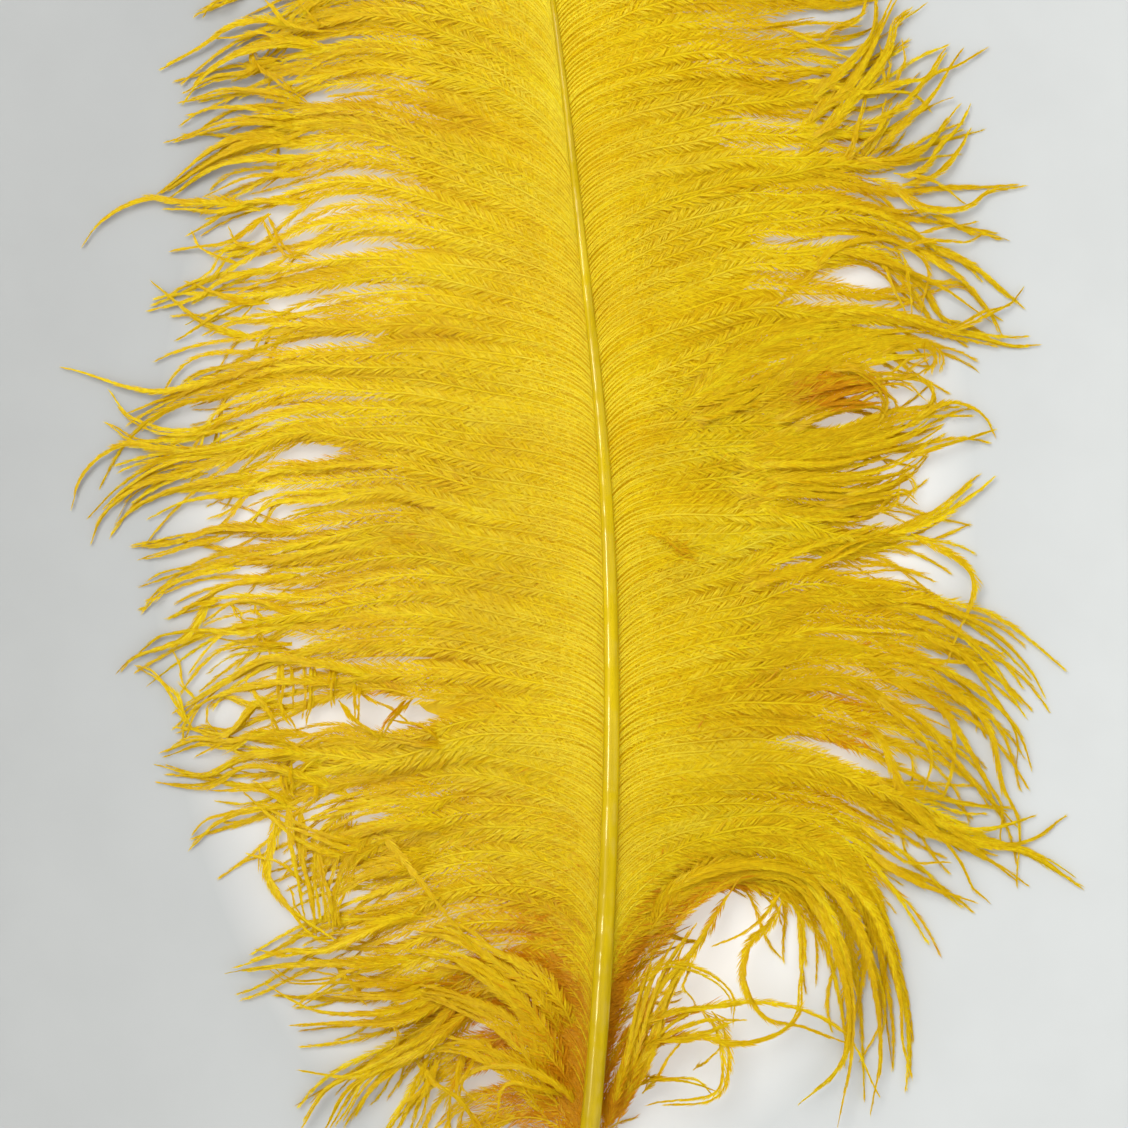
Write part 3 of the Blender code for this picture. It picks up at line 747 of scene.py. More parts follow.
@dataclass
class Strands:
    """The strands that a vane's barbs gather into, and the barbs themselves.

    Most barbs run into the nearest strand, some run free, and lower ones fill the vane from below.
    The between_ values are the number and the jitter of the strands between two guides, the own_
    and home_ ones the jitter of a barb's own way and of its strand's. Angles are in degrees. A pair
    for a height holds that of layer 0 and what a layer adds.
    """

    guides: Guides
    loose: tuple
    seed: int
    low_root: float = 41.0
    high_root: float = 414.0
    barbs: int = 348
    lower: int = 190
    lower_clear: float = 14.0
    stations: int = 38
    station_power: float = 1.35
    between: int = 2
    between_root: float = 1.4
    between_reach: tuple = (0.76, 1.0)
    between_tip: float = 2.4
    between_leave: float = 2.0
    between_arrive: float = 16.0
    root_jitter: float = 0.10
    reach_range: tuple = (0.78, 1.0)
    lead_range: tuple = (0.96, 1.0)
    short_share: float = 0.15
    short_reach: float = 0.80
    lower_reach: float = 0.86
    own_tip: float = 1.6
    own_arrive: float = 7.0
    home_arrive: float = 6.0
    swing: float = 1.3
    swing_pace: tuple = (5.0, 10.0)
    swing_range: tuple = (0.25, 0.7)
    gather_range: tuple = (0.60, 1.0)
    gather_pull: tuple = (0.80, 1.0)
    free_share: float = 0.26
    free_pull: float = 0.35
    free_drift: float = 8.0
    drift: float = 1.2
    drift_range: tuple = (0.40, 1.05)
    layer_step: float = 0.3
    top_share: float = 0.34
    top_layer: float = 0.8
    lower_layers: tuple = (-0.9, -0.3)
    loose_layers: tuple = (0.3, 1.2)
    root_drop: float = 0.10
    tip_height: tuple = (0.42, 0.5)
    crest: tuple = (0.28, 0.6)
    wave: float = 0.45
    wave_pace: tuple = (6.0, 14.0)
    wave_range: tuple = (0.06, 0.35)
    hidden_way: float = 40.0
    spread: Spread = Spread()
    waves: Waves = Waves()
    lines: Array = field(init=False)
    roots: Array = field(init=False)
    layer: Array = field(init=False)
    start: Array = field(init=False)
    thin: Array = field(init=False)

    def build(self) -> None:
        """Lays out every barb of the vane as a line of points in millimetres."""
        rng = np.random.default_rng(self.seed)
        strands = self.strand_rows(rng)
        roots = np.linspace(self.low_root, self.high_root, self.barbs)
        roots = roots + rng.normal(0.0, self.root_jitter, self.barbs)
        below = rng.uniform(self.low_root, self.high_root - self.lower_clear, self.lower)
        roots = np.concatenate([roots, below])
        count = len(roots)
        homes = np.abs(roots[:, None] - strands[None, :, 0]).argmin(axis=1)
        shares = self.shares(rng, roots, strands)
        flat = part(self.waves.move(rng, self.gathered(rng, roots, strands, homes, shares)))
        layer = self.layers(rng, len(strands), homes)
        high = self.heights(rng, roots, layer[:, None], shares)
        laid = LooseBarbs(self.loose, self.stations, self.spread)
        loose = laid.lines(rng)
        high = np.concatenate([high, laid.heights(rng, loose)])
        self.lines = np.concatenate([np.concatenate([flat, loose]), high[:, :, None]], axis=2)
        self.roots = np.concatenate([roots, loose[:, 0, 1]])
        self.layer = np.concatenate([layer, rng.uniform(*self.loose_layers, len(loose))])
        self.start = np.where(np.arange(len(self.lines)) < count, 0.0, self.hidden_way)
        self.thin = np.concatenate([np.zeros(count, bool), ~laid.full()])

    def strand_rows(self, rng: Random) -> Array:
        """The guides, and jittered strands between each two of them.

        Args:
            rng: the source of the jitter.

        Returns:
            Guide values, one row of six a strand.
        """
        table = self.guides.table()
        rows = [table]
        for step in range(1, self.between + 1):
            places = table[:-1, 0] + np.diff(table[:, 0]) * step / (self.between + 1)
            count = len(places)
            mid = self.guides.at(
                places + rng.uniform(-self.between_root, self.between_root, count))
            reach = rng.uniform(*self.between_reach, count)[:, None]
            start = np.stack([SHAFT.x(mid[:, 0]), mid[:, 0] + self.guides.climb], axis=1)
            mid[:, 1:3] = start + (mid[:, 1:3] - start) * reach
            mid[:, 1:3] += rng.normal(0.0, self.between_tip, (count, 2))
            mid[:, 3] += rng.normal(0.0, self.between_leave, count)
            mid[:, 4] += rng.normal(0.0, self.between_arrive, count)
            rows.append(mid)
        return np.concatenate(rows)

    def shares(self, rng: Random, roots: Array, strands: Array) -> Array:
        """Shares of each barb's way at which its points lie, closer near the shaft.

        The barb nearest to a strand's root leads it, and is nearly whole. Others end sooner.

        Args:
            rng: the source of the lengths.
            roots: where each barb leaves the shaft, the lower ones last.
            strands: the strands' guide values.

        Returns:
            Shares, one row a barb.
        """
        count = len(roots)
        ends = rng.uniform(*self.reach_range, count)
        ends[rng.random(count) < self.short_share] *= self.short_reach
        leads = np.abs(strands[:, None, 0] - roots[None, :self.barbs]).argmin(axis=1)
        ends[leads] = rng.uniform(*self.lead_range, len(leads))
        ends[self.barbs:] *= self.lower_reach
        steps = np.linspace(0.0, 1.0, self.stations)**self.station_power
        return steps[None, :] * ends[:, None]

    def gathered(self, rng: Random, roots: Array, strands: Array, homes: Array,
                 shares: Array) -> Array:
        """Lines of barbs that start on their own and run into their strands.

        Args:
            rng: the source of every jitter.
            roots: where each barb leaves the shaft, the lower ones last.
            strands: the strands' guide values.
            homes: which strand each barb runs into.
            shares: shares of the way, one row a barb.

        Returns:
            Points as barbs x stations x 2.
        """
        count = len(roots)
        own_rows = self.guides.at(roots)
        own_rows[:, 1:3] += rng.normal(0.0, self.own_tip, (count, 2))
        own_rows[:, 4] += rng.normal(0.0, self.own_arrive, count)
        own = self.guides.lines(own_rows, shares)
        home_rows = strands[homes]
        home_rows[:, 4] += rng.normal(0.0, self.home_arrive, count)
        home = self.guides.lines(home_rows, shares)
        swing = rng.normal(0.0, self.swing, len(strands))[homes][:, None]
        pace = rng.uniform(*self.swing_pace, len(strands))[homes][:, None]
        phase = rng.uniform(*PHASES, len(strands))[homes][:, None]
        sway = swing * ramp(*self.swing_range, shares) * np.sin(pace * shares + phase)
        home = beside(home, sway + self.spread.steps(rng, shares))
        pull = ramp(*self.gather_range, shares)
        pull = (pull * rng.uniform(*self.gather_pull, (count, 1)))[:, :, None]
        free = (np.arange(count) >= self.barbs) | (rng.random(count) < self.free_share)
        pull = pull * np.where(free, self.free_pull, 1.0)[:, None, None]
        drift = rng.normal(0.0, np.where(free, self.free_drift, self.drift))[:, None]
        return beside(own * (1 - pull) + home * pull, drift * ramp(*self.drift_range, shares))

    def layers(self, rng: Random, strands: int, homes: Array) -> Array:
        """How high each barb lies among the others.

        Args:
            rng: the source of the layers.
            strands: how many strands there are.
            homes: which strand each barb runs into.

        Returns:
            One number a barb, below 0 for the lower ones.
        """
        count = len(homes)
        layer = self.layer_step * rng.random(strands)[homes] + self.layer_step * rng.random(count)
        layer[rng.random(count) < self.top_share] += self.top_layer
        layer[self.barbs:] = rng.uniform(*self.lower_layers, self.lower)
        return layer

    def heights(self, rng: Random, roots: Array, layer: Array, shares: Array) -> Array:
        """Height of each barb: off the shaft's side, over a crest and down to the surface.

        Args:
            rng: the source of its waves.
            roots: where each barb leaves the shaft.
            layer: how high each lies among the others, as a column.
            shares: shares of the way, one row a barb.

        Returns:
            Heights in millimetres, one row a barb.
        """
        way = np.minimum(shares / LANDING, 1.0)
        fall = fallen(way)
        root = (SHAFT.z(roots) - self.root_drop * SHAFT.full_width(roots))[:, None]
        tip = self.tip_height[0] + self.tip_height[1] * layer
        lift = (self.crest[0] + self.crest[1] * layer) * np.sin(math.pi * way)
        column = (len(shares), 1)
        wave = rng.normal(0.0, self.wave, column) * np.sin(
            shares * rng.uniform(*self.wave_pace, column) + rng.uniform(*PHASES, column))
        high = root * (1 - fall) + tip * fall + lift + wave * ramp(*self.wave_range, shares)
        return np.maximum(high, LOWEST_BARB)


def new_mesh(name: str, points: Array, faces: Array, smooth: bool) -> bpy.types.Object:
    """Makes a mesh piece.

    Args:
        name: the piece's name.
        points: corners in plan millimetres.
        faces: corner numbers, one row a face.
        smooth: whether faces shade smoothly.

    Returns:
        The new piece, in the scene.
    """
    mesh = bpy.data.meshes.new(name)
    count, sides = faces.shape
    mesh.vertices.add(len(points))
    mesh.vertices.foreach_set("co", PLACING.metres(points).astype(np.float32).ravel())
    mesh.loops.add(count * sides)
    mesh.loops.foreach_set("vertex_index", faces.astype(np.int32).ravel())
    mesh.polygons.add(count)
    mesh.polygons.foreach_set("loop_start", np.arange(0, count * sides, sides, dtype=np.int32))
    mesh.polygons.foreach_set("use_smooth", np.full(count, smooth))
    mesh.update(calc_edges=True)
    piece = bpy.data.objects.new(name, mesh)
    bpy.context.scene.collection.objects.link(piece)
    return piece


def settle(piece: bpy.types.Object) -> bpy.types.Object:
    """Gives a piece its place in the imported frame.

    Args:
        piece: the piece.

    Returns:
        The same piece.
    """
    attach(piece, BODY)
    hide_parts(NODE)
    return piece


class Graph:
    """A short way to lay out a material's nodes."""

    # How rough the finer layers of every noise are.
    ROUGHNESS = 0.55

    def __init__(self, name: str) -> None:
        """Starts an empty material with one Principled shader.

        Args:
            name: the material's name.
        """
        self.material = bpy.data.materials.new(name)
        self.material.use_nodes = True
        self.tree = self.material.node_tree
        self.shader = self.tree.nodes["Principled BSDF"]
        self.output = self.tree.nodes["Material Output"]

    def add(self, kind: str, **values: object) -> bpy.types.Node:
        """Adds a node and sets its attributes, or its sockets where it has no such attribute.

        Args:
            kind: the node's type, without its ShaderNode prefix.
            values: attribute or socket values.

        Returns:
            The node.
        """
        node = self.tree.nodes.new("ShaderNode" + kind)
        for key, value in values.items():
            if hasattr(node, key):
                setattr(node, key, value)
            else:
                node.inputs[key].default_value = value
        return node

    def set(self, **values: object) -> None:
        """Sets the shader's own sockets; an underscore stands for a space."""
        for key, value in values.items():
            self.shader.inputs[key.replace("_", " ")].default_value = value

    def link(self, start: bpy.types.NodeSocket, end: bpy.types.NodeSocket) -> None:
        """Joins two sockets."""
        self.tree.links.new(start, end)

    def feed(self, start: bpy.types.NodeSocket, name: str) -> None:
        """Joins a socket to one of the shader's."""
        self.link(start, self.shader.inputs[name])

    def stretched(self, scale: tuple, shift: tuple = (0.0, 0.0, 0.0),
                  turn: float = 0.0) -> bpy.types.NodeSocket:
        """Object coordinates, scaled, turned and then shifted.

        Args:
            scale: the scale along each axis.
            shift: the step along each axis.
            turn: degrees about Z.

        Returns:
            The coordinates' socket.
        """
        source = self.add("TexCoord")
        mapping = self.add("Mapping", Scale=scale, Location=shift,
                           Rotation=(0.0, 0.0, math.radians(turn)))
        self.link(source.outputs["Object"], mapping.inputs["Vector"])
        return mapping.outputs["Vector"]

    def noise(self, scale: tuple, size: float, detail: float) -> bpy.types.NodeSocket:
        """Noise over object coordinates.

        Args:
            scale: how the coordinates are stretched.
            size: how fine the noise is.
            detail: how many finer layers it has.

        Returns:
            The socket of its value.
        """
        made = self.add("TexNoise", Scale=size, Detail=detail, Roughness=self.ROUGHNESS)
        self.link(self.stretched(scale), made.inputs["Vector"])
        return made.outputs["Fac"]

    def gradient(self, kind: str, place: bpy.types.NodeSocket) -> bpy.types.NodeSocket:
        """A gradient over coordinates.

        Args:
            kind: LINEAR or SPHERICAL.
            place: the coordinates' socket.

        Returns:
            The socket of its value.
        """
        made = self.add("TexGradient", gradient_type=kind)
        self.link(place, made.inputs["Vector"])
        return made.outputs["Fac"]

    def colours(self, value: bpy.types.NodeSocket, stops: tuple) -> bpy.types.NodeSocket:
        """A ramp of colours over a value.

        Args:
            value: the socket that the ramp reads.
            stops: (place, linear colour) pairs.

        Returns:
            The colour's socket.
        """
        made = self.add("ValToRGB")
        band = made.color_ramp
        while len(band.elements) < len(stops):
            band.elements.new(0.5)
        for element, (place, colour) in zip(band.elements, stops):
            element.position = place
            element.color = (*colour, 1.0)
        self.link(value, made.inputs["Fac"])
        return made.outputs["Color"]

    def greys(self, value: bpy.types.NodeSocket, stops: tuple) -> bpy.types.NodeSocket:
        """A ramp of greys over a value, from (place, grey) pairs."""
        return self.colours(value, tuple((place, (grey,) * 3) for place, grey in stops))

    def multiplied(self, first: bpy.types.NodeSocket,
                   second: bpy.types.NodeSocket) -> bpy.types.NodeSocket:
        """One colour multiplied by another.

        Args:
            first: a colour's socket.
            second: another colour's socket.

        Returns:
            The product's socket.
        """
        made = self.add("Mix", data_type="RGBA", blend_type="MULTIPLY")
        factor, colour, other = (made.inputs[at] for at in (0, 6, 7))
        factor.default_value = 1.0
        self.link(first, colour)
        self.link(second, other)
        return made.outputs[2]

    def bump(self, height: bpy.types.NodeSocket, strength: float, distance: float) -> None:
        """Gives the shader a bump.

        Args:
            height: the socket of its height.
            strength: its strength.
            distance: its depth in metres.
        """
        made = self.add("Bump", Strength=strength, Distance=distance)
        self.link(height, made.inputs["Height"])
        self.feed(made.outputs["Normal"], "Normal")


@dataclass(frozen=True)
class BarbFinish:
    """Dyed barbs: soft, warm yellow, which glow where light comes through.

    A noise is given as its stretch, size and detail, and the relief as its strength and depth.
    """

    name: str
    dye: tuple
    glow: tuple
    glow_share: float = 0.42
    roughness: float = 0.46
    specular: float = 0.09
    sheen: float = 0.03
    sheen_roughness: float = 0.4
    sheen_tint: tuple = (1.0, 0.86, 0.25)
    broad_noise: tuple = ((1.0, 1.8, 1.0), 30.0, 2.0)
    shades: tuple = ((0.32, (0.94, 0.88, 0.8)), (0.50, (1.0, 1.0, 1.0)), (0.70, (1.04, 1.08, 1.3)))
    brightest: float = 0.95
    fine_noise: tuple = ((1.0, 1.0, 1.0), 950.0, 1.0)
    flecks: tuple = ((0.36, (0.88, 0.84, 0.8)), (0.64, (1.0, 1.0, 1.0)))
    relief: tuple = (0.2, 0.0002)

    def make(self) -> bpy.types.Material:
        """Builds the material.

        Returns:
            The material.
        """
        graph = Graph(self.name)
        broad = graph.noise(*self.broad_noise)
        fine = graph.noise(*self.fine_noise)
        shades = tuple((place, tuple(min(c * k, self.brightest) for c, k in zip(self.dye, scale)))
                       for place, scale in self.shades)
        colour = graph.multiplied(graph.colours(broad, shades), graph.colours(fine, self.flecks))
        graph.feed(colour, "Base Color")
        graph.set(Roughness=self.roughness, Specular_IOR_Level=self.specular,
                  Sheen_Weight=self.sheen, Sheen_Roughness=self.sheen_roughness,
                  Sheen_Tint=(*self.sheen_tint, 1.0))
        graph.bump(fine, *self.relief)
        lit_through = graph.add("BsdfTranslucent", Color=(*self.glow, 1.0))
        mix = graph.add("MixShader", Fac=self.glow_share)
        graph.link(graph.shader.outputs["BSDF"], mix.inputs[1])
        graph.link(lit_through.outputs["BSDF"], mix.inputs[2])
        graph.link(mix.outputs["Shader"], graph.output.inputs["Surface"])
        return graph.material


# The barbs' finishes, in the order of the tones: one dyed barb from pale to amber, used for its own
# tone and for painted shade and highlight.
BARB_FINISHES = (
    BarbFinish("barbs_pale", (0.86, 0.73, 0.030), (0.93, 0.73, 0.008)),
    BarbFinish("barbs_clear", (0.84, 0.685, 0.006), (0.93, 0.69, 0.003)),
    BarbFinish("barbs_deep", (0.75, 0.55, 0.003), (0.88, 0.57, 0.002)),
    BarbFinish("barbs_amber", (0.66, 0.33, 0.002), (0.84, 0.39, 0.002)),
)


@dataclass(frozen=True)
class ShaftFinish:
    """Dyed horn: smooth, glossy lemon yellow with lengthwise streaks, and a painted sheen that
    leaves it brighter in its middle than at both ends.

    Where this painted sheen lies is given as a scale, a shift and a turn in degrees. The coat is
    broken into patches, thick and thin.
    """

    name: str = "dyed_horn"
    streak_noise: tuple = ((9.0, 0.6, 9.0), 60.0, 4.0)
    streaks: tuple = ((0.3, (0.46, 0.315, 0.002)), (0.7, (0.61, 0.435, 0.003)))
    # Painted sheen: the colour is brightest in the middle of the shaft and duller towards both
    # ends.
    ends: tuple = ((0.15, (0.82, 0.80, 0.7)), (0.42, (1.0, 1.0, 1.0)), (0.50, (1.0, 1.0, 1.0)),
                   (0.74, (0.76, 0.73, 0.6)))
    painted_sheen_place: tuple = ((2.0, 2.0, 2.0), (0.5, 0.0, 0.0), -90.0)
    roughness: float = 0.40
    specular: float = 0.04
    coat_noise: tuple = ((1.0, 0.9, 1.0), 150.0, 2.0)
    coat: tuple = ((0.46, 0.38), (0.56, 0.02))
    coat_roughness: float = 0.16
    lump_noise: tuple = ((2.0, 0.8, 2.0), 110.0, 2.0)
    relief: tuple = (0.7, 0.0008)

    def make(self) -> bpy.types.Material:
        """Builds the material.

        Returns:
            The material.
        """
        graph = Graph(self.name)
        streaks = graph.colours(graph.noise(*self.streak_noise), self.streaks)
        # Painted sheen along the shaft.
        along = graph.gradient("LINEAR", graph.stretched(*self.painted_sheen_place))
        graph.feed(graph.multiplied(streaks, graph.colours(along, self.ends)), "Base Color")
        graph.set(Roughness=self.roughness, Specular_IOR_Level=self.specular,
                  Coat_Roughness=self.coat_roughness)
        graph.feed(graph.greys(graph.noise(*self.coat_noise), self.coat), "Coat Weight")
        graph.bump(graph.noise(*self.lump_noise), *self.relief)
        return graph.material


@dataclass
class Frames:
    """All barbs of a vane, with the way along, across and up at each of their points.

    A loose barb's line starts some way along it, because its first part is inside the plume. A thin
    one's barbules lie close to it, and a sparse one has fewer.
    """

    lines: Array
    roll: Array
    start: Array
    thin: Array
    sparse: Array
    roots: Array
    depths: Array
    roll_range: tuple = (0.05, 0.3)
    along: Array = field(init=False)
    across: Array = field(init=False)
    up: Array = field(init=False)
    arc: Array = field(init=False)
    first: Array = field(init=False)

    def __post_init__(self) -> None:
        """Works out the directions and the way gone at each point."""
        step = np.linalg.norm(np.diff(self.lines, axis=1), axis=2)
        self.arc = np.concatenate([np.zeros((len(self.lines), 1)), np.cumsum(step, axis=1)], axis=1)
        self.first = self.start / (self.start + self.arc[:, -1])
        self.along = unit(np.gradient(self.lines, axis=1))
        flat = np.stack([-self.along[..., 1], self.along[..., 0], 0 * self.along[..., 0]], axis=-1)
        across = unit(flat)
        up = np.cross(self.along, across)
        share = self.arc / self.arc[:, -1:]
        roll = self.roll[:, :1] * ramp(*self.roll_range, share) + self.roll[:, 1:] * share**3
        cos, sin = np.cos(roll)[..., None], np.sin(roll)[..., None]
        self.across = across * cos + up * sin
        self.up = up * cos - across * sin


@dataclass
class Barbules:
    """The fine branches on both sides of every barb, one sliver each.

    They stand in tufts. Those of one tuft share an angle, a droop, a reach and a twist.
    """

    pitch: float = 0.31
    sparse_pitch: float = 1.7
    place_jitter: float = 0.3
    bare: float = 1.8
    least_bare: float = 0.1
    first_place: float = 0.3
    tuft: tuple = ((0.0, 0.8), (15.0, 1.05), (50.0, 1.35))
    tuft_stagger: float = 0.4
    angle: tuple = ((0.0, 52.0), (0.06, 46.0), (0.25, 40.0), (0.50, 34.0), (0.64, 26.0),
                    (0.76, 14.0), (0.88, 8.0), (1.0, 6.0))
    angle_jitter: float = 2.5
    angle_tuft: float = 0.12
    angle_within: float = 0.28
    thin_angle: float = 0.55
    droop: float = 0.06
    droop_tuft: float = 0.09
    droop_jitter: float = 0.04
    reach: tuple = ((0.0, 0.3), (4.0, 0.42), (8.0, 0.8), (12.0, 1.6), (18.0, 2.9), (30.0, 4.1),
                    (60.0, 4.0))
    reach_range: tuple = (0.85, 1.10)
    reach_tuft: float = 0.13
    reach_near_tip: tuple = ((0.0, 0.5), (8.0, 0.78), (26.0, 1.0))
    twist_tuft: float = 0.22
    twist_jitter: float = 0.10
    width: tuple = ((0.0, 0.17), (0.1, 0.18), (0.6, 0.21), (1.0, 0.18))
    widest_range: tuple = (0.35, 0.65)
    # Painted shade: tones deepen towards each tuft's end, and each tuft takes its own random step
    # of tone, for the light and dark strokes of tufts.
    shading: float = 0.85
    shading_tuft: float = 0.35

    def places(self, length: float, start: float, pitch: float, rng: Random) -> tuple:
        """Spaces barbules out along a barb, on its two sides by turns.

        Args:
            length: the length of the barb's line.
            start: how much of the barb lies before its line.
            pitch: the step between two barbules of one side.
            rng: the source of their jitter.

        Returns:
            Their places in millimetres, and their sides as signs.
        """
        bare = max(self.bare - start, self.least_bare)
        count = 2 * int((length - bare) / pitch)
        odd = np.arange(count) % 2
        places = bare + pitch * (np.arange(count) // 2 + 0.5 * odd)
        places = places + rng.normal(0.0, pitch * self.place_jitter, count)
        return np.clip(places, self.first_place, length), np.where(odd, 1.0, -1.0)

    def tufts(self, places: Array, start: float, sign: Array, rng: Random) -> tuple:
        """Shares barbules out among tufts.

        Args:
            places: their places along the barb's line.
            start: how much of the barb lies before its line.
            sign: their sides as signs.
            rng: the source of each tuft's own numbers.

        Returns:
            Where in its tuft each one lies, from -0.5 to 0.5, and its tuft's four numbers.
        """
        tuft = places / read(self.tuft, start + places) + rng.uniform(0.0, 1.0)
        tuft = tuft + self.tuft_stagger * sign
        whole = np.floor(tuft)
        own = rng.normal(0.0, 1.0, (int(tuft.max()) + 3, 2, 4))
        return tuft - whole - 0.5, own[whole.astype(int) + 1, (sign > 0).astype(int)]

    def along(self, frames: Frames, at: int, rng: Random) -> tuple:
        """Slivers of one barb, as corners in threes, and each one's step of painted shade.

        Args:
            frames: the vane's barbs.
            at: which barb.
            rng: the source of its jitter.

        Returns:
            Points as slivers x 3 x 3, and steps of painted shade, deeper towards each tuft's end
            and different for each tuft.
        """
        arc = frames.arc[at]
        length, start = arc[-1], frames.start[at]
        pitch = self.pitch * (self.sparse_pitch if frames.sparse[at] else 1.0)
        places, sign = self.places(length, start, pitch, rng)
        count = len(places)
        point, along, across, up = (
            np.stack([np.interp(places, arc, values[at][:, i]) for i in range(3)], axis=1)
            for values in (frames.lines, frames.along, frames.across, frames.up))
        share = (start + places) / (start + length)
        within, own = self.tufts(places, start, sign, rng)
        angle = read(self.angle, share) + rng.normal(0.0, self.angle_jitter, count)
        angle = angle * (1.0 + self.angle_tuft * own[:, 0] + self.angle_within * within)
        angle = np.radians(angle) * (self.thin_angle if frames.thin[at] else 1.0)
        droop = self.droop + self.droop_tuft * own[:, 1] + rng.normal(0.0, self.droop_jitter, count)
        reach = read(self.reach, start + places) * rng.uniform(*self.reach_range, count)
        reach = reach * (1.0 + self.reach_tuft * own[:, 2])
        reach = reach * read(self.reach_near_tip, length - places)
        out = across * (sign * np.cos(droop))[:, None] - up * np.sin(droop)[:, None]
        heading = along * np.cos(angle)[:, None] + out * np.sin(angle)[:, None]
        twist = self.twist_tuft * own[:, 3] + rng.normal(0.0, self.twist_jitter, count)
        edge = unit(np.cross(heading, up)) * np.cos(twist)[:, None] + up * np.sin(twist)[:, None]
        edge = edge * (read(self.width, share) * rng.choice((-1.0, 1.0), count))[:, None]
        widest = reach * rng.uniform(*self.widest_range, count)
        middle = point + heading * widest[:, None] + edge
        corners = np.stack([point, middle, point + heading * reach[:, None]], axis=1)
        corners[..., 2] = np.maximum(corners[..., 2], LOWEST_CORNER)
        # Painted shade: deeper towards the tuft's end, and a random step for each tuft.
        return corners, self.shading * within + self.shading_tuft * own[:, 2]


@dataclass
class Ribbons:
    """Every barb's stem with the close down on both its sides, as a low roof."""

    half_width: tuple = ((0.0, 0.17), (3.0, 0.19), (12.0, 0.20), (30.0, 0.19), (60.0, 0.26))
    tip_taper: tuple = ((0.0, 0.02), (18.0, 1.0))
    crown: tuple = ((0.0, 0.20), (10.0, 0.16), (30.0, 0.10))
    ragged_range: tuple = (0.8, 1.1)
    droop: float = 0.08

    def corners(self, frames: Frames, rng: Random) -> Array:
        """Points of the roofs.

        Args:
            frames: the vane's barbs.
            rng: the source of their ragged edges.

        Returns:
            Points as barbs x stations x 3 x 3, from edge to edge.
        """
        left = frames.arc[:, -1:] - frames.arc
        arc = frames.arc + frames.start[:, None]
        half = read(self.half_width, arc) * read(self.tip_taper, left)
        ragged = half[:, :, None] * rng.uniform(*self.ragged_range, (*half.shape, 2))
        cos, sin = math.cos(self.droop), math.sin(self.droop)
        low, high = ((frames.across * (sign * cos) - frames.up * sin) * ragged[:, :, at, None]
                     for at, sign in enumerate((-1.0, 1.0)))
        crown = frames.up * read(self.crown, arc)[..., None]
        corners = frames.lines[:, :, None, :] + np.stack([low, crown, high], axis=2)
        corners[..., 2] = np.maximum(corners[..., 2], LOWEST_CORNER)
        return corners

    def quads(self, barbs: int, stations: int) -> Array:
        """Faces over the roofs' points.

        Args:
            barbs: how many barbs there are.
            stations: how many points each has.

        Returns:
            Corner numbers, one row of four a face.
        """
        start = first_corners(barbs, stations) * 3
        strips = [start + np.array([[i, i + 3, i + 4, i + 1]]) for i in range(2)]
        return np.stack(strips, axis=1).reshape(-1, 4)


@dataclass
class Felt:
    """The thick down under the inner part of a vane, with a ragged outer edge; it takes the deep
    tone as painted shade in the gaps between the barbs above it.
    """

    rings: int = 18
    columns_a_barb: int = 2
    share: float = 0.40
    share_jitter: float = 0.10
    near_quill: tuple = ((50.0, 0.45), (110.0, 1.0))
    root_drop: float = 0.28
    inner_drop: float = 1.0
    inner_range: tuple = (0.0, 0.05)
    height_jitter: float = 0.12
    lowest: float = 0.1

    def build(self, name: str, strands: Strands, rng: Random) -> bpy.types.Object:
        """Builds the felt.

        Args:
            name: its name.
            strands: the vane's strands.
            rng: the source of its jitter.

        Returns:
            The piece.
        """
        count, guides = strands.barbs * self.columns_a_barb, strands.guides
        roots = np.linspace(strands.low_root, strands.high_root, count)
        ends = self.share * (1.0 + rng.normal(0.0, self.share_jitter, count))
        ends = ends * read(self.near_quill, roots)
        shares = np.linspace(0.0, 1.0, self.rings)[None, :] * ends[:, None]
        flat = part(guides.lines(guides.at(roots), shares))
        fall = fallen(shares / LANDING)
        root = (SHAFT.z(roots) - self.root_drop * SHAFT.full_width(roots))[:, None]
        high = root * (1 - fall) + rng.normal(0.0, self.height_jitter, fall.shape)
        high = high - self.inner_drop * ramp(*self.inner_range, shares)
        high = np.maximum(high, self.lowest)[:, :, None]
        cell = np.array([[0, 1, self.rings + 1, self.rings]])
        return new_mesh(name, np.concatenate([flat, high], axis=2).reshape(-1, 3),
                        first_corners(count - 1, self.rings) + cell, smooth=True)


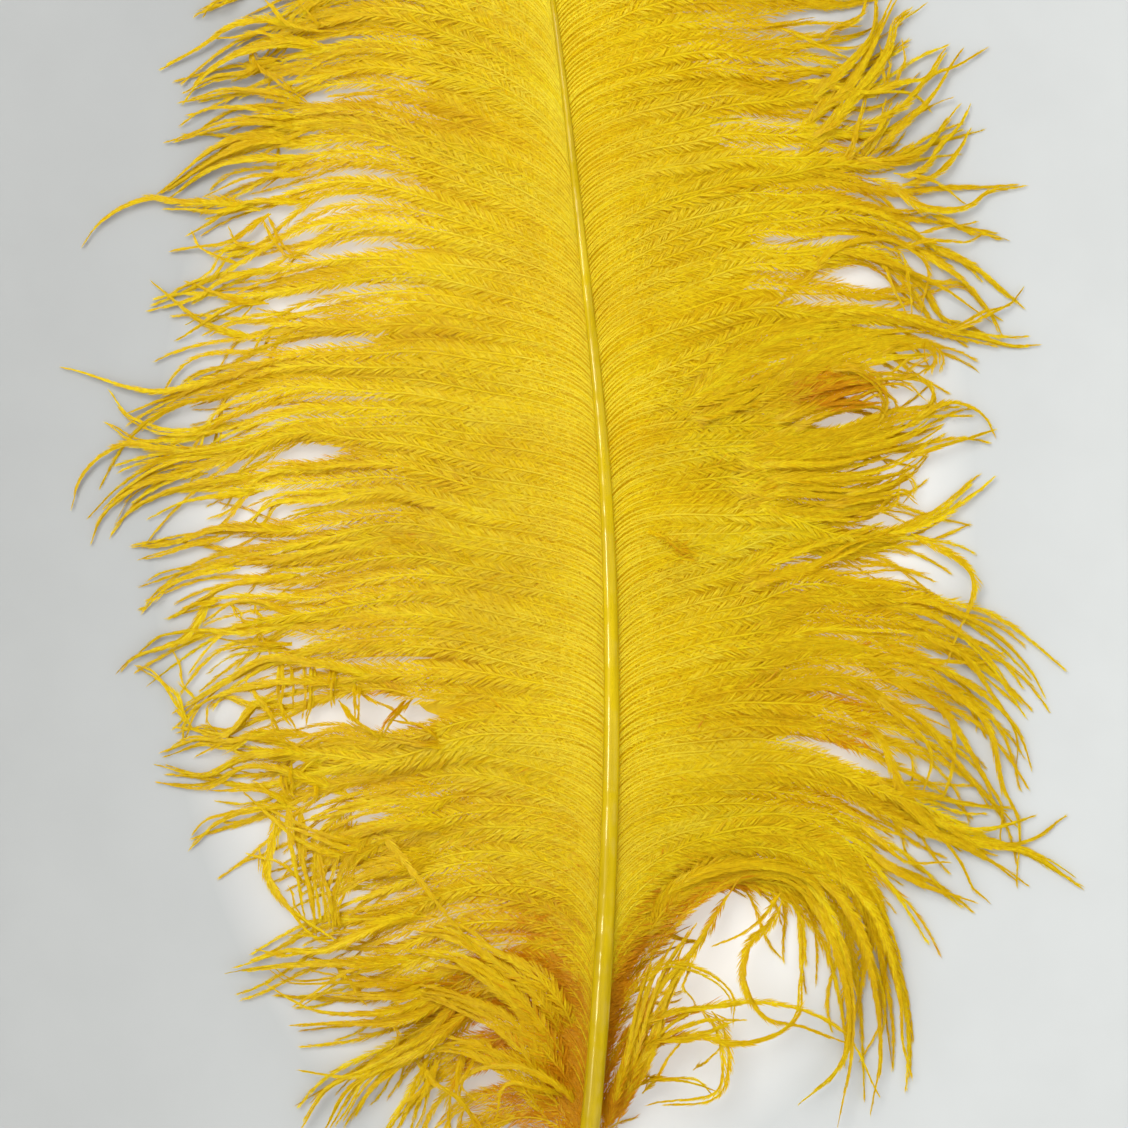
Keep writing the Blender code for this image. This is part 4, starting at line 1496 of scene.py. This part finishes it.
@dataclass
class Vane:
    """One vane: every barb's roof of down, its barbules, and the felt under them."""

    name: str
    strands: Strands
    finishes: tuple
    pieces: int = 4
    roll: tuple = (0.14, 0.45)
    mid_depth: float = 1.2
    # Painted shade: barbs in low layers, under the others, take deeper tones.
    painted_layer_shade: float = 0.7
    depth_jitter: float = 0.25
    # Painted highlight: the ribs are paler near the shaft, where their ridges catch the light.
    painted_rib_highlight: float = 0.9
    painted_highlight_range: tuple = (0.10, 0.30)
    outer_depth: float = 1.0
    outer_range: tuple = (0.2, 0.75)
    # Painted shade: near the quill, where barbs lie in many layers, their inner parts take deeper
    # tones.
    painted_quill_shade: float = 2.0
    quill_range: tuple = (62.0, 134.0)
    inner_range: tuple = (0.30, 0.70)
    tone_jitter: float = 0.12
    barbules: Barbules = field(default_factory=Barbules)
    ribbons: Ribbons = field(default_factory=Ribbons)
    shade_felt: Felt = field(default_factory=Felt)

    def build(self) -> list:
        """Builds the vane's pieces.

        Returns:
            The down, the groups of barbules and the felt.
        """
        self.strands.build()
        rng = np.random.default_rng(self.strands.seed + 1)
        order = np.argsort(self.strands.roots, kind="stable")
        depths = self.depths(rng)[order]
        roll = rng.normal(0.0, self.roll, (len(order), 2))
        frames = Frames(self.strands.lines[order], roll, self.strands.start[order],
                        self.strands.thin[order], self.strands.layer[order] < 0.0,
                        self.strands.roots[order], depths)
        made = [self.down(frames, rng)]
        for number, group in enumerate(np.array_split(np.arange(len(order)), self.pieces)):
            made.append(self.tufts(number, group, frames, rng))
        shade_felt = self.shade_felt.build(f"{self.name}_felt", self.strands, rng)
        # The felt takes the deep tone: painted shade in the gaps between the barbs above it.
        return made + [self.dress(shade_felt, np.full(len(shade_felt.data.polygons), Tone.DEEP.value))]

    def down(self, frames: Frames, rng: Random) -> bpy.types.Object:
        """Builds the roofs of down on all barbs.

        Args:
            frames: the vane's barbs.
            rng: the source of their jitter.

        Returns:
            The piece.
        """
        barbs, stations = frames.arc.shape
        roofs = self.ribbons.corners(frames, rng).reshape(-1, 3)
        quads = self.ribbons.quads(barbs, stations)
        each = 2 * (stations - 1)
        first = frames.first[:, None]
        share = (first + (1.0 - first) * np.linspace(0.0, 1.0, each)).ravel()
        piece = new_mesh(f"{self.name}_down", roofs, quads, smooth=True)
        # Painted highlight: ribs paler near the shaft.
        pale = self.painted_rib_highlight * (1.0 - ramp(*self.painted_highlight_range, share))
        # Painted shade in folds, added to each barb's tone.
        depth = np.repeat(frames.depths, each) - pale + painted_fold_shade(roofs[quads[:, 0], :2])
        return self.dress(piece, self.tones(depth, np.repeat(frames.roots, each), share, rng))

    def tufts(self, number: int, group: Array, frames: Frames, rng: Random) -> bpy.types.Object:
        """Builds the barbules of a group of barbs.

        Args:
            number: the group's number.
            group: which barbs are in it.
            frames: the vane's barbs.
            rng: the source of their jitter.

        Returns:
            The piece.
        """
        slivers, shades = zip(*[self.barbules.along(frames, at, rng) for at in group])
        counts = [len(shade) for shade in shades]
        share = np.concatenate([np.linspace(frames.first[at], 1.0, count)
                                for at, count in zip(group, counts)])
        corners = np.concatenate(slivers).reshape(-1, 3)
        faces = np.arange(len(corners)).reshape(-1, 3)
        piece = new_mesh(f"{self.name}_barbules_{number}", corners, faces, smooth=False)
        # Each barb's tone, with the painted shade of each sliver's place in its tuft.
        depth = np.repeat(frames.depths[group], counts) + np.concatenate(shades)
        # Painted shade in folds.
        depth = depth + painted_fold_shade(corners[::3, :2])
        roots = np.repeat(frames.roots[group], counts)
        return self.dress(piece, self.tones(depth, roots, share, rng))

    def depths(self, rng: Random) -> Array:
        """How deep each barb's tone is, before rounding: painted shade makes the barbs of low
        layers deeper, and the tone varies at random.
        """
        depth = self.mid_depth - self.painted_layer_shade * self.strands.layer
        return depth + rng.normal(0.0, self.depth_jitter, len(depth))

    def tones(self, depth: Array, root: Array, share: Array, rng: Random) -> Array:
        """The tone of each face: deeper outwards, and deeper near the quill as painted shade of the
        many layers there.

        Args:
            depth: how deep the dye of its barb is.
            root: where its barb leaves the shaft.
            share: how far along its barb it is.
            rng: the source of its jitter.

        Returns:
            The place of each face's finish.
        """
        low = 1.0 - ramp(*self.quill_range, root)
        inner = 1.0 - ramp(*self.inner_range, share)
        outer = depth + self.outer_depth * ramp(*self.outer_range, share)
        depth = np.minimum(outer, np.maximum(depth, Tone.DEEP.value))
        # Painted shade near the quill.
        depth = depth + self.painted_quill_shade * low * inner
        depth = depth + rng.normal(0.0, self.tone_jitter, len(depth))
        return np.clip(np.round(depth), Tone.PALE.value, Tone.AMBER.value).astype(int)

    def dress(self, piece: bpy.types.Object, tones: Array) -> bpy.types.Object:
        """Gives a piece its finishes and its place in the frame.

        Args:
            piece: the piece.
            tones: the place of each face's finish.

        Returns:
            The same piece.
        """
        for finish in self.finishes:
            piece.data.materials.append(finish)
        piece.data.polygons.foreach_set("material_index", tones.astype(np.int32))
        return settle(piece)


@dataclass
class Shaft:
    """The quill and shaft: a tapered, bowed, arched tube, flatter below, closed at both ends."""

    finish: bpy.types.Material
    rings: int = 260
    sides: int = 28
    upper: float = 0.92
    under: float = 0.80

    def build(self) -> bpy.types.Object:
        """Builds the tube.

        Returns:
            The piece.
        """
        y = np.linspace(0.0, SHAFT.length, self.rings)
        middle = np.stack([SHAFT.x(y), y, SHAFT.z(y)], axis=1)
        along = unit(np.gradient(middle, axis=0))
        across = unit(np.stack([along[:, 1], -along[:, 0], np.zeros(len(y))], axis=1))
        up = np.cross(across, along)
        half = SHAFT.full_width(y) / 2
        turn = np.linspace(0.0, 2 * math.pi, self.sides, endpoint=False)
        rise = np.sin(turn) * np.where(np.sin(turn) > 0, self.upper, self.under)
        ring = (across[:, None] * np.cos(turn)[None, :, None] + up[:, None] * rise[None, :, None])
        points = middle[:, None] + ring * half[:, None, None]
        piece = new_mesh("shaft", points.reshape(-1, 3), self.faces(), smooth=True)
        piece.data.materials.append(self.finish)
        return settle(piece)

    def faces(self) -> Array:
        """Faces of the tube and of its two ends.

        Returns:
            Corner numbers, one row of four a face.
        """
        base = np.arange(self.rings - 1)[:, None] * self.sides
        i = np.arange(self.sides)
        j = (i + 1) % self.sides
        tube = np.stack(np.broadcast_arrays(base + i, base + i + self.sides, base + j + self.sides,
                                            base + j), axis=-1).reshape(-1, 4)
        k = np.arange(self.sides // 2 - 1)
        cap = np.stack([k, k + 1, self.sides - 2 - k, self.sides - 1 - k], axis=1)
        last = cap[:, ::-1] + (self.rings - 1) * self.sides
        return np.concatenate([tube, cap, last])


@dataclass(frozen=True)
class Lamp:
    """An area lamp that faces the plume's middle: a disk, or a strip where it has a height.

    Its place is from the plume's middle, in metres, and its power is in watts.
    """

    name: str
    place: tuple
    width: float
    power: float
    colour: tuple
    height: float = 0.0
    gloss_only: bool = False

    def build(self, centre: Array) -> None:
        """Adds the lamp.

        Args:
            centre: the plume's middle in metres.
        """
        data = bpy.data.lights.new(self.name, "AREA")
        data.shape = "RECTANGLE" if self.height else "DISK"
        data.size = self.width
        if self.height:
            data.size_y = self.height
        data.energy = self.power
        data.color = self.colour
        lamp = bpy.data.objects.new(self.name, data)
        bpy.context.scene.collection.objects.link(lamp)
        lamp.location = Vector(centre) + Vector(self.place)
        lamp.rotation_euler = (-Vector(self.place)).to_track_quat("-Z", "Y").to_euler()
        lamp.visible_diffuse = not self.gloss_only


@dataclass(frozen=True)
class Floor:
    """A pale matt sheet under everything, with painted shade that darkens it towards the left and
    the top, and a painted glow that lights it from below where the plume lies.

    Where its painted slope of grey and its painted glow lie is given as a scale, a shift and a turn
    in degrees.
    """

    half_size: float = 1.6
    drop: float = 0.0002
    # Painted shade: the sheet's grey runs from darker at the left to lighter at the right, turned
    # so the top is darker too.
    left: tuple = (0.335, 0.34, 0.335)
    right: tuple = (0.535, 0.545, 0.53)
    painted_shade_slope: tuple = ((3.5, 3.5, 1.0), (0.5, 0.0, 0.0), 20.0)
    grain_noise: tuple = ((1.0, 1.0, 1.0), 40.0, 3.0)
    grain: tuple = ((0.35, 0.97), (0.65, 1.0))
    # Painted glow: an emission under the plume that lifts the shade below it, as if light came
    # through the barbs.
    glow: tuple = (1.0, 0.92, 0.84)
    painted_glow_place: tuple = ((9.6, 5.7, 1.0), (0.0, -0.057, 0.0))
    painted_glow_edge: float = 0.25
    painted_glow_strength: float = 0.42
    roughness: float = 0.75
    specular: float = 0.25

    def build(self, centre: Array) -> None:
        """Adds the floor.

        Args:
            centre: the plume's middle in metres.
        """
        corners = np.array([[-1, -1, 0], [1, -1, 0], [1, 1, 0], [-1, 1, 0]], float) * self.half_size
        mesh = bpy.data.meshes.new("floor")
        mesh.from_pydata([tuple(c) for c in corners], [], [(0, 1, 2, 3)])
        mesh.materials.append(self.make())
        piece = bpy.data.objects.new("floor", mesh)
        bpy.context.scene.collection.objects.link(piece)
        piece.location = (centre[0], centre[1], -self.drop)

    def make(self) -> bpy.types.Material:
        """Builds the sheet's material.

        Returns:
            The material.
        """
        graph = Graph("pale_sheet")
        grain = graph.greys(graph.noise(*self.grain_noise), self.grain)
        # Painted shade, darker towards the left and the top.
        across = graph.gradient("LINEAR", graph.stretched(*self.painted_shade_slope))
        shaded_grey = graph.colours(across, ((0.0, self.left), (1.0, self.right)))
        graph.feed(graph.multiplied(shaded_grey, grain), "Base Color")
        # Painted glow: emission under the plume.
        middle = graph.gradient("SPHERICAL", graph.stretched(*self.painted_glow_place))
        glow = graph.colours(middle, ((0.0, (0.0, 0.0, 0.0)), (self.painted_glow_edge, self.glow)))
        graph.feed(glow, "Emission Color")
        graph.set(Emission_Strength=self.painted_glow_strength, Roughness=self.roughness,
                  Specular_IOR_Level=self.specular)
        return graph.material


@dataclass
class Studio:
    """The floor, soft lamps, a pale sky and the camera over the plume.

    The camera's field is as wide as the picture, in millimetres, at the height of the plume's
    middle. The strip gives the shaft its long highlight.
    """

    middle: tuple = (0.0, 205.0)
    field_width: float = 282.0
    field_height: float = 6.0
    camera_height: float = 0.62
    sensor: float = 36.0
    nearest: float = 0.05
    sky_colour: tuple = (0.95, 0.97, 1.0, 1.0)
    sky_strength: float = 0.92
    lamps: tuple = (
        Lamp("key", (-0.38, 0.52, 0.96), 0.75, 9.5, (1.0, 0.99, 0.97)),
        Lamp("fill", (0.95, -0.60, 0.80), 1.10, 2.5, (0.98, 0.99, 1.0)),
        Lamp("strip", (-0.58, -0.052, 0.72), 0.62, 19.0, (1.0, 0.94, 0.66), 0.115, True),
    )
    floor: Floor = Floor()

    def build(self) -> None:
        """Builds the floor, lamps, sky and camera."""
        centre = PLACING.metres(np.array([[*self.middle, 0.0]]))[0]
        self.floor.build(centre)
        for lamp in self.lamps:
            lamp.build(centre)
        self.sky()
        self.camera(centre)
        settings = bpy.context.scene.view_settings
        settings.view_transform = "Standard"
        settings.look = "None"
        settings.exposure = 0.0

    def sky(self) -> None:
        """A pale, even sky."""
        world = bpy.data.worlds.new("soft_sky")
        world.use_nodes = True
        background = world.node_tree.nodes["Background"]
        background.inputs["Color"].default_value = self.sky_colour
        background.inputs["Strength"].default_value = self.sky_strength
        bpy.context.scene.world = world

    def camera(self, centre: Array) -> None:
        """The camera, straight above, with the plume's tip towards the top of the picture.

        Args:
            centre: the plume's middle in metres.
        """
        data = bpy.data.cameras.new("above")
        data.sensor_width = self.sensor
        data.lens = (self.sensor * (self.camera_height - self.field_height * MM)
                     / (self.field_width * MM))
        data.clip_start = self.nearest
        camera = bpy.data.objects.new("above", data)
        bpy.context.scene.collection.objects.link(camera)
        camera.location = (centre[0], centre[1], self.camera_height)
        bpy.context.scene.camera = camera


def main() -> None:
    """Builds the plume and its studio, and reports each piece."""
    logging.basicConfig(level=logging.INFO, format="%(message)s")
    barbs = tuple(finish.make() for finish in BARB_FINISHES)
    pieces = [Shaft(ShaftFinish().make()).build()]
    left = Vane("left", Strands(Guides(LEFT_GUIDES, Side.LEFT), LEFT_LOOSE, seed=11), barbs)
    right = Vane("right", Strands(Guides(RIGHT_GUIDES, Side.RIGHT), RIGHT_LOOSE, seed=23), barbs)
    pieces += left.build() + right.build()
    Studio().build()
    for piece in pieces:
        LOG.info("%s: %d faces", piece.name, len(piece.data.polygons))


if __name__ == "__main__":
    main()
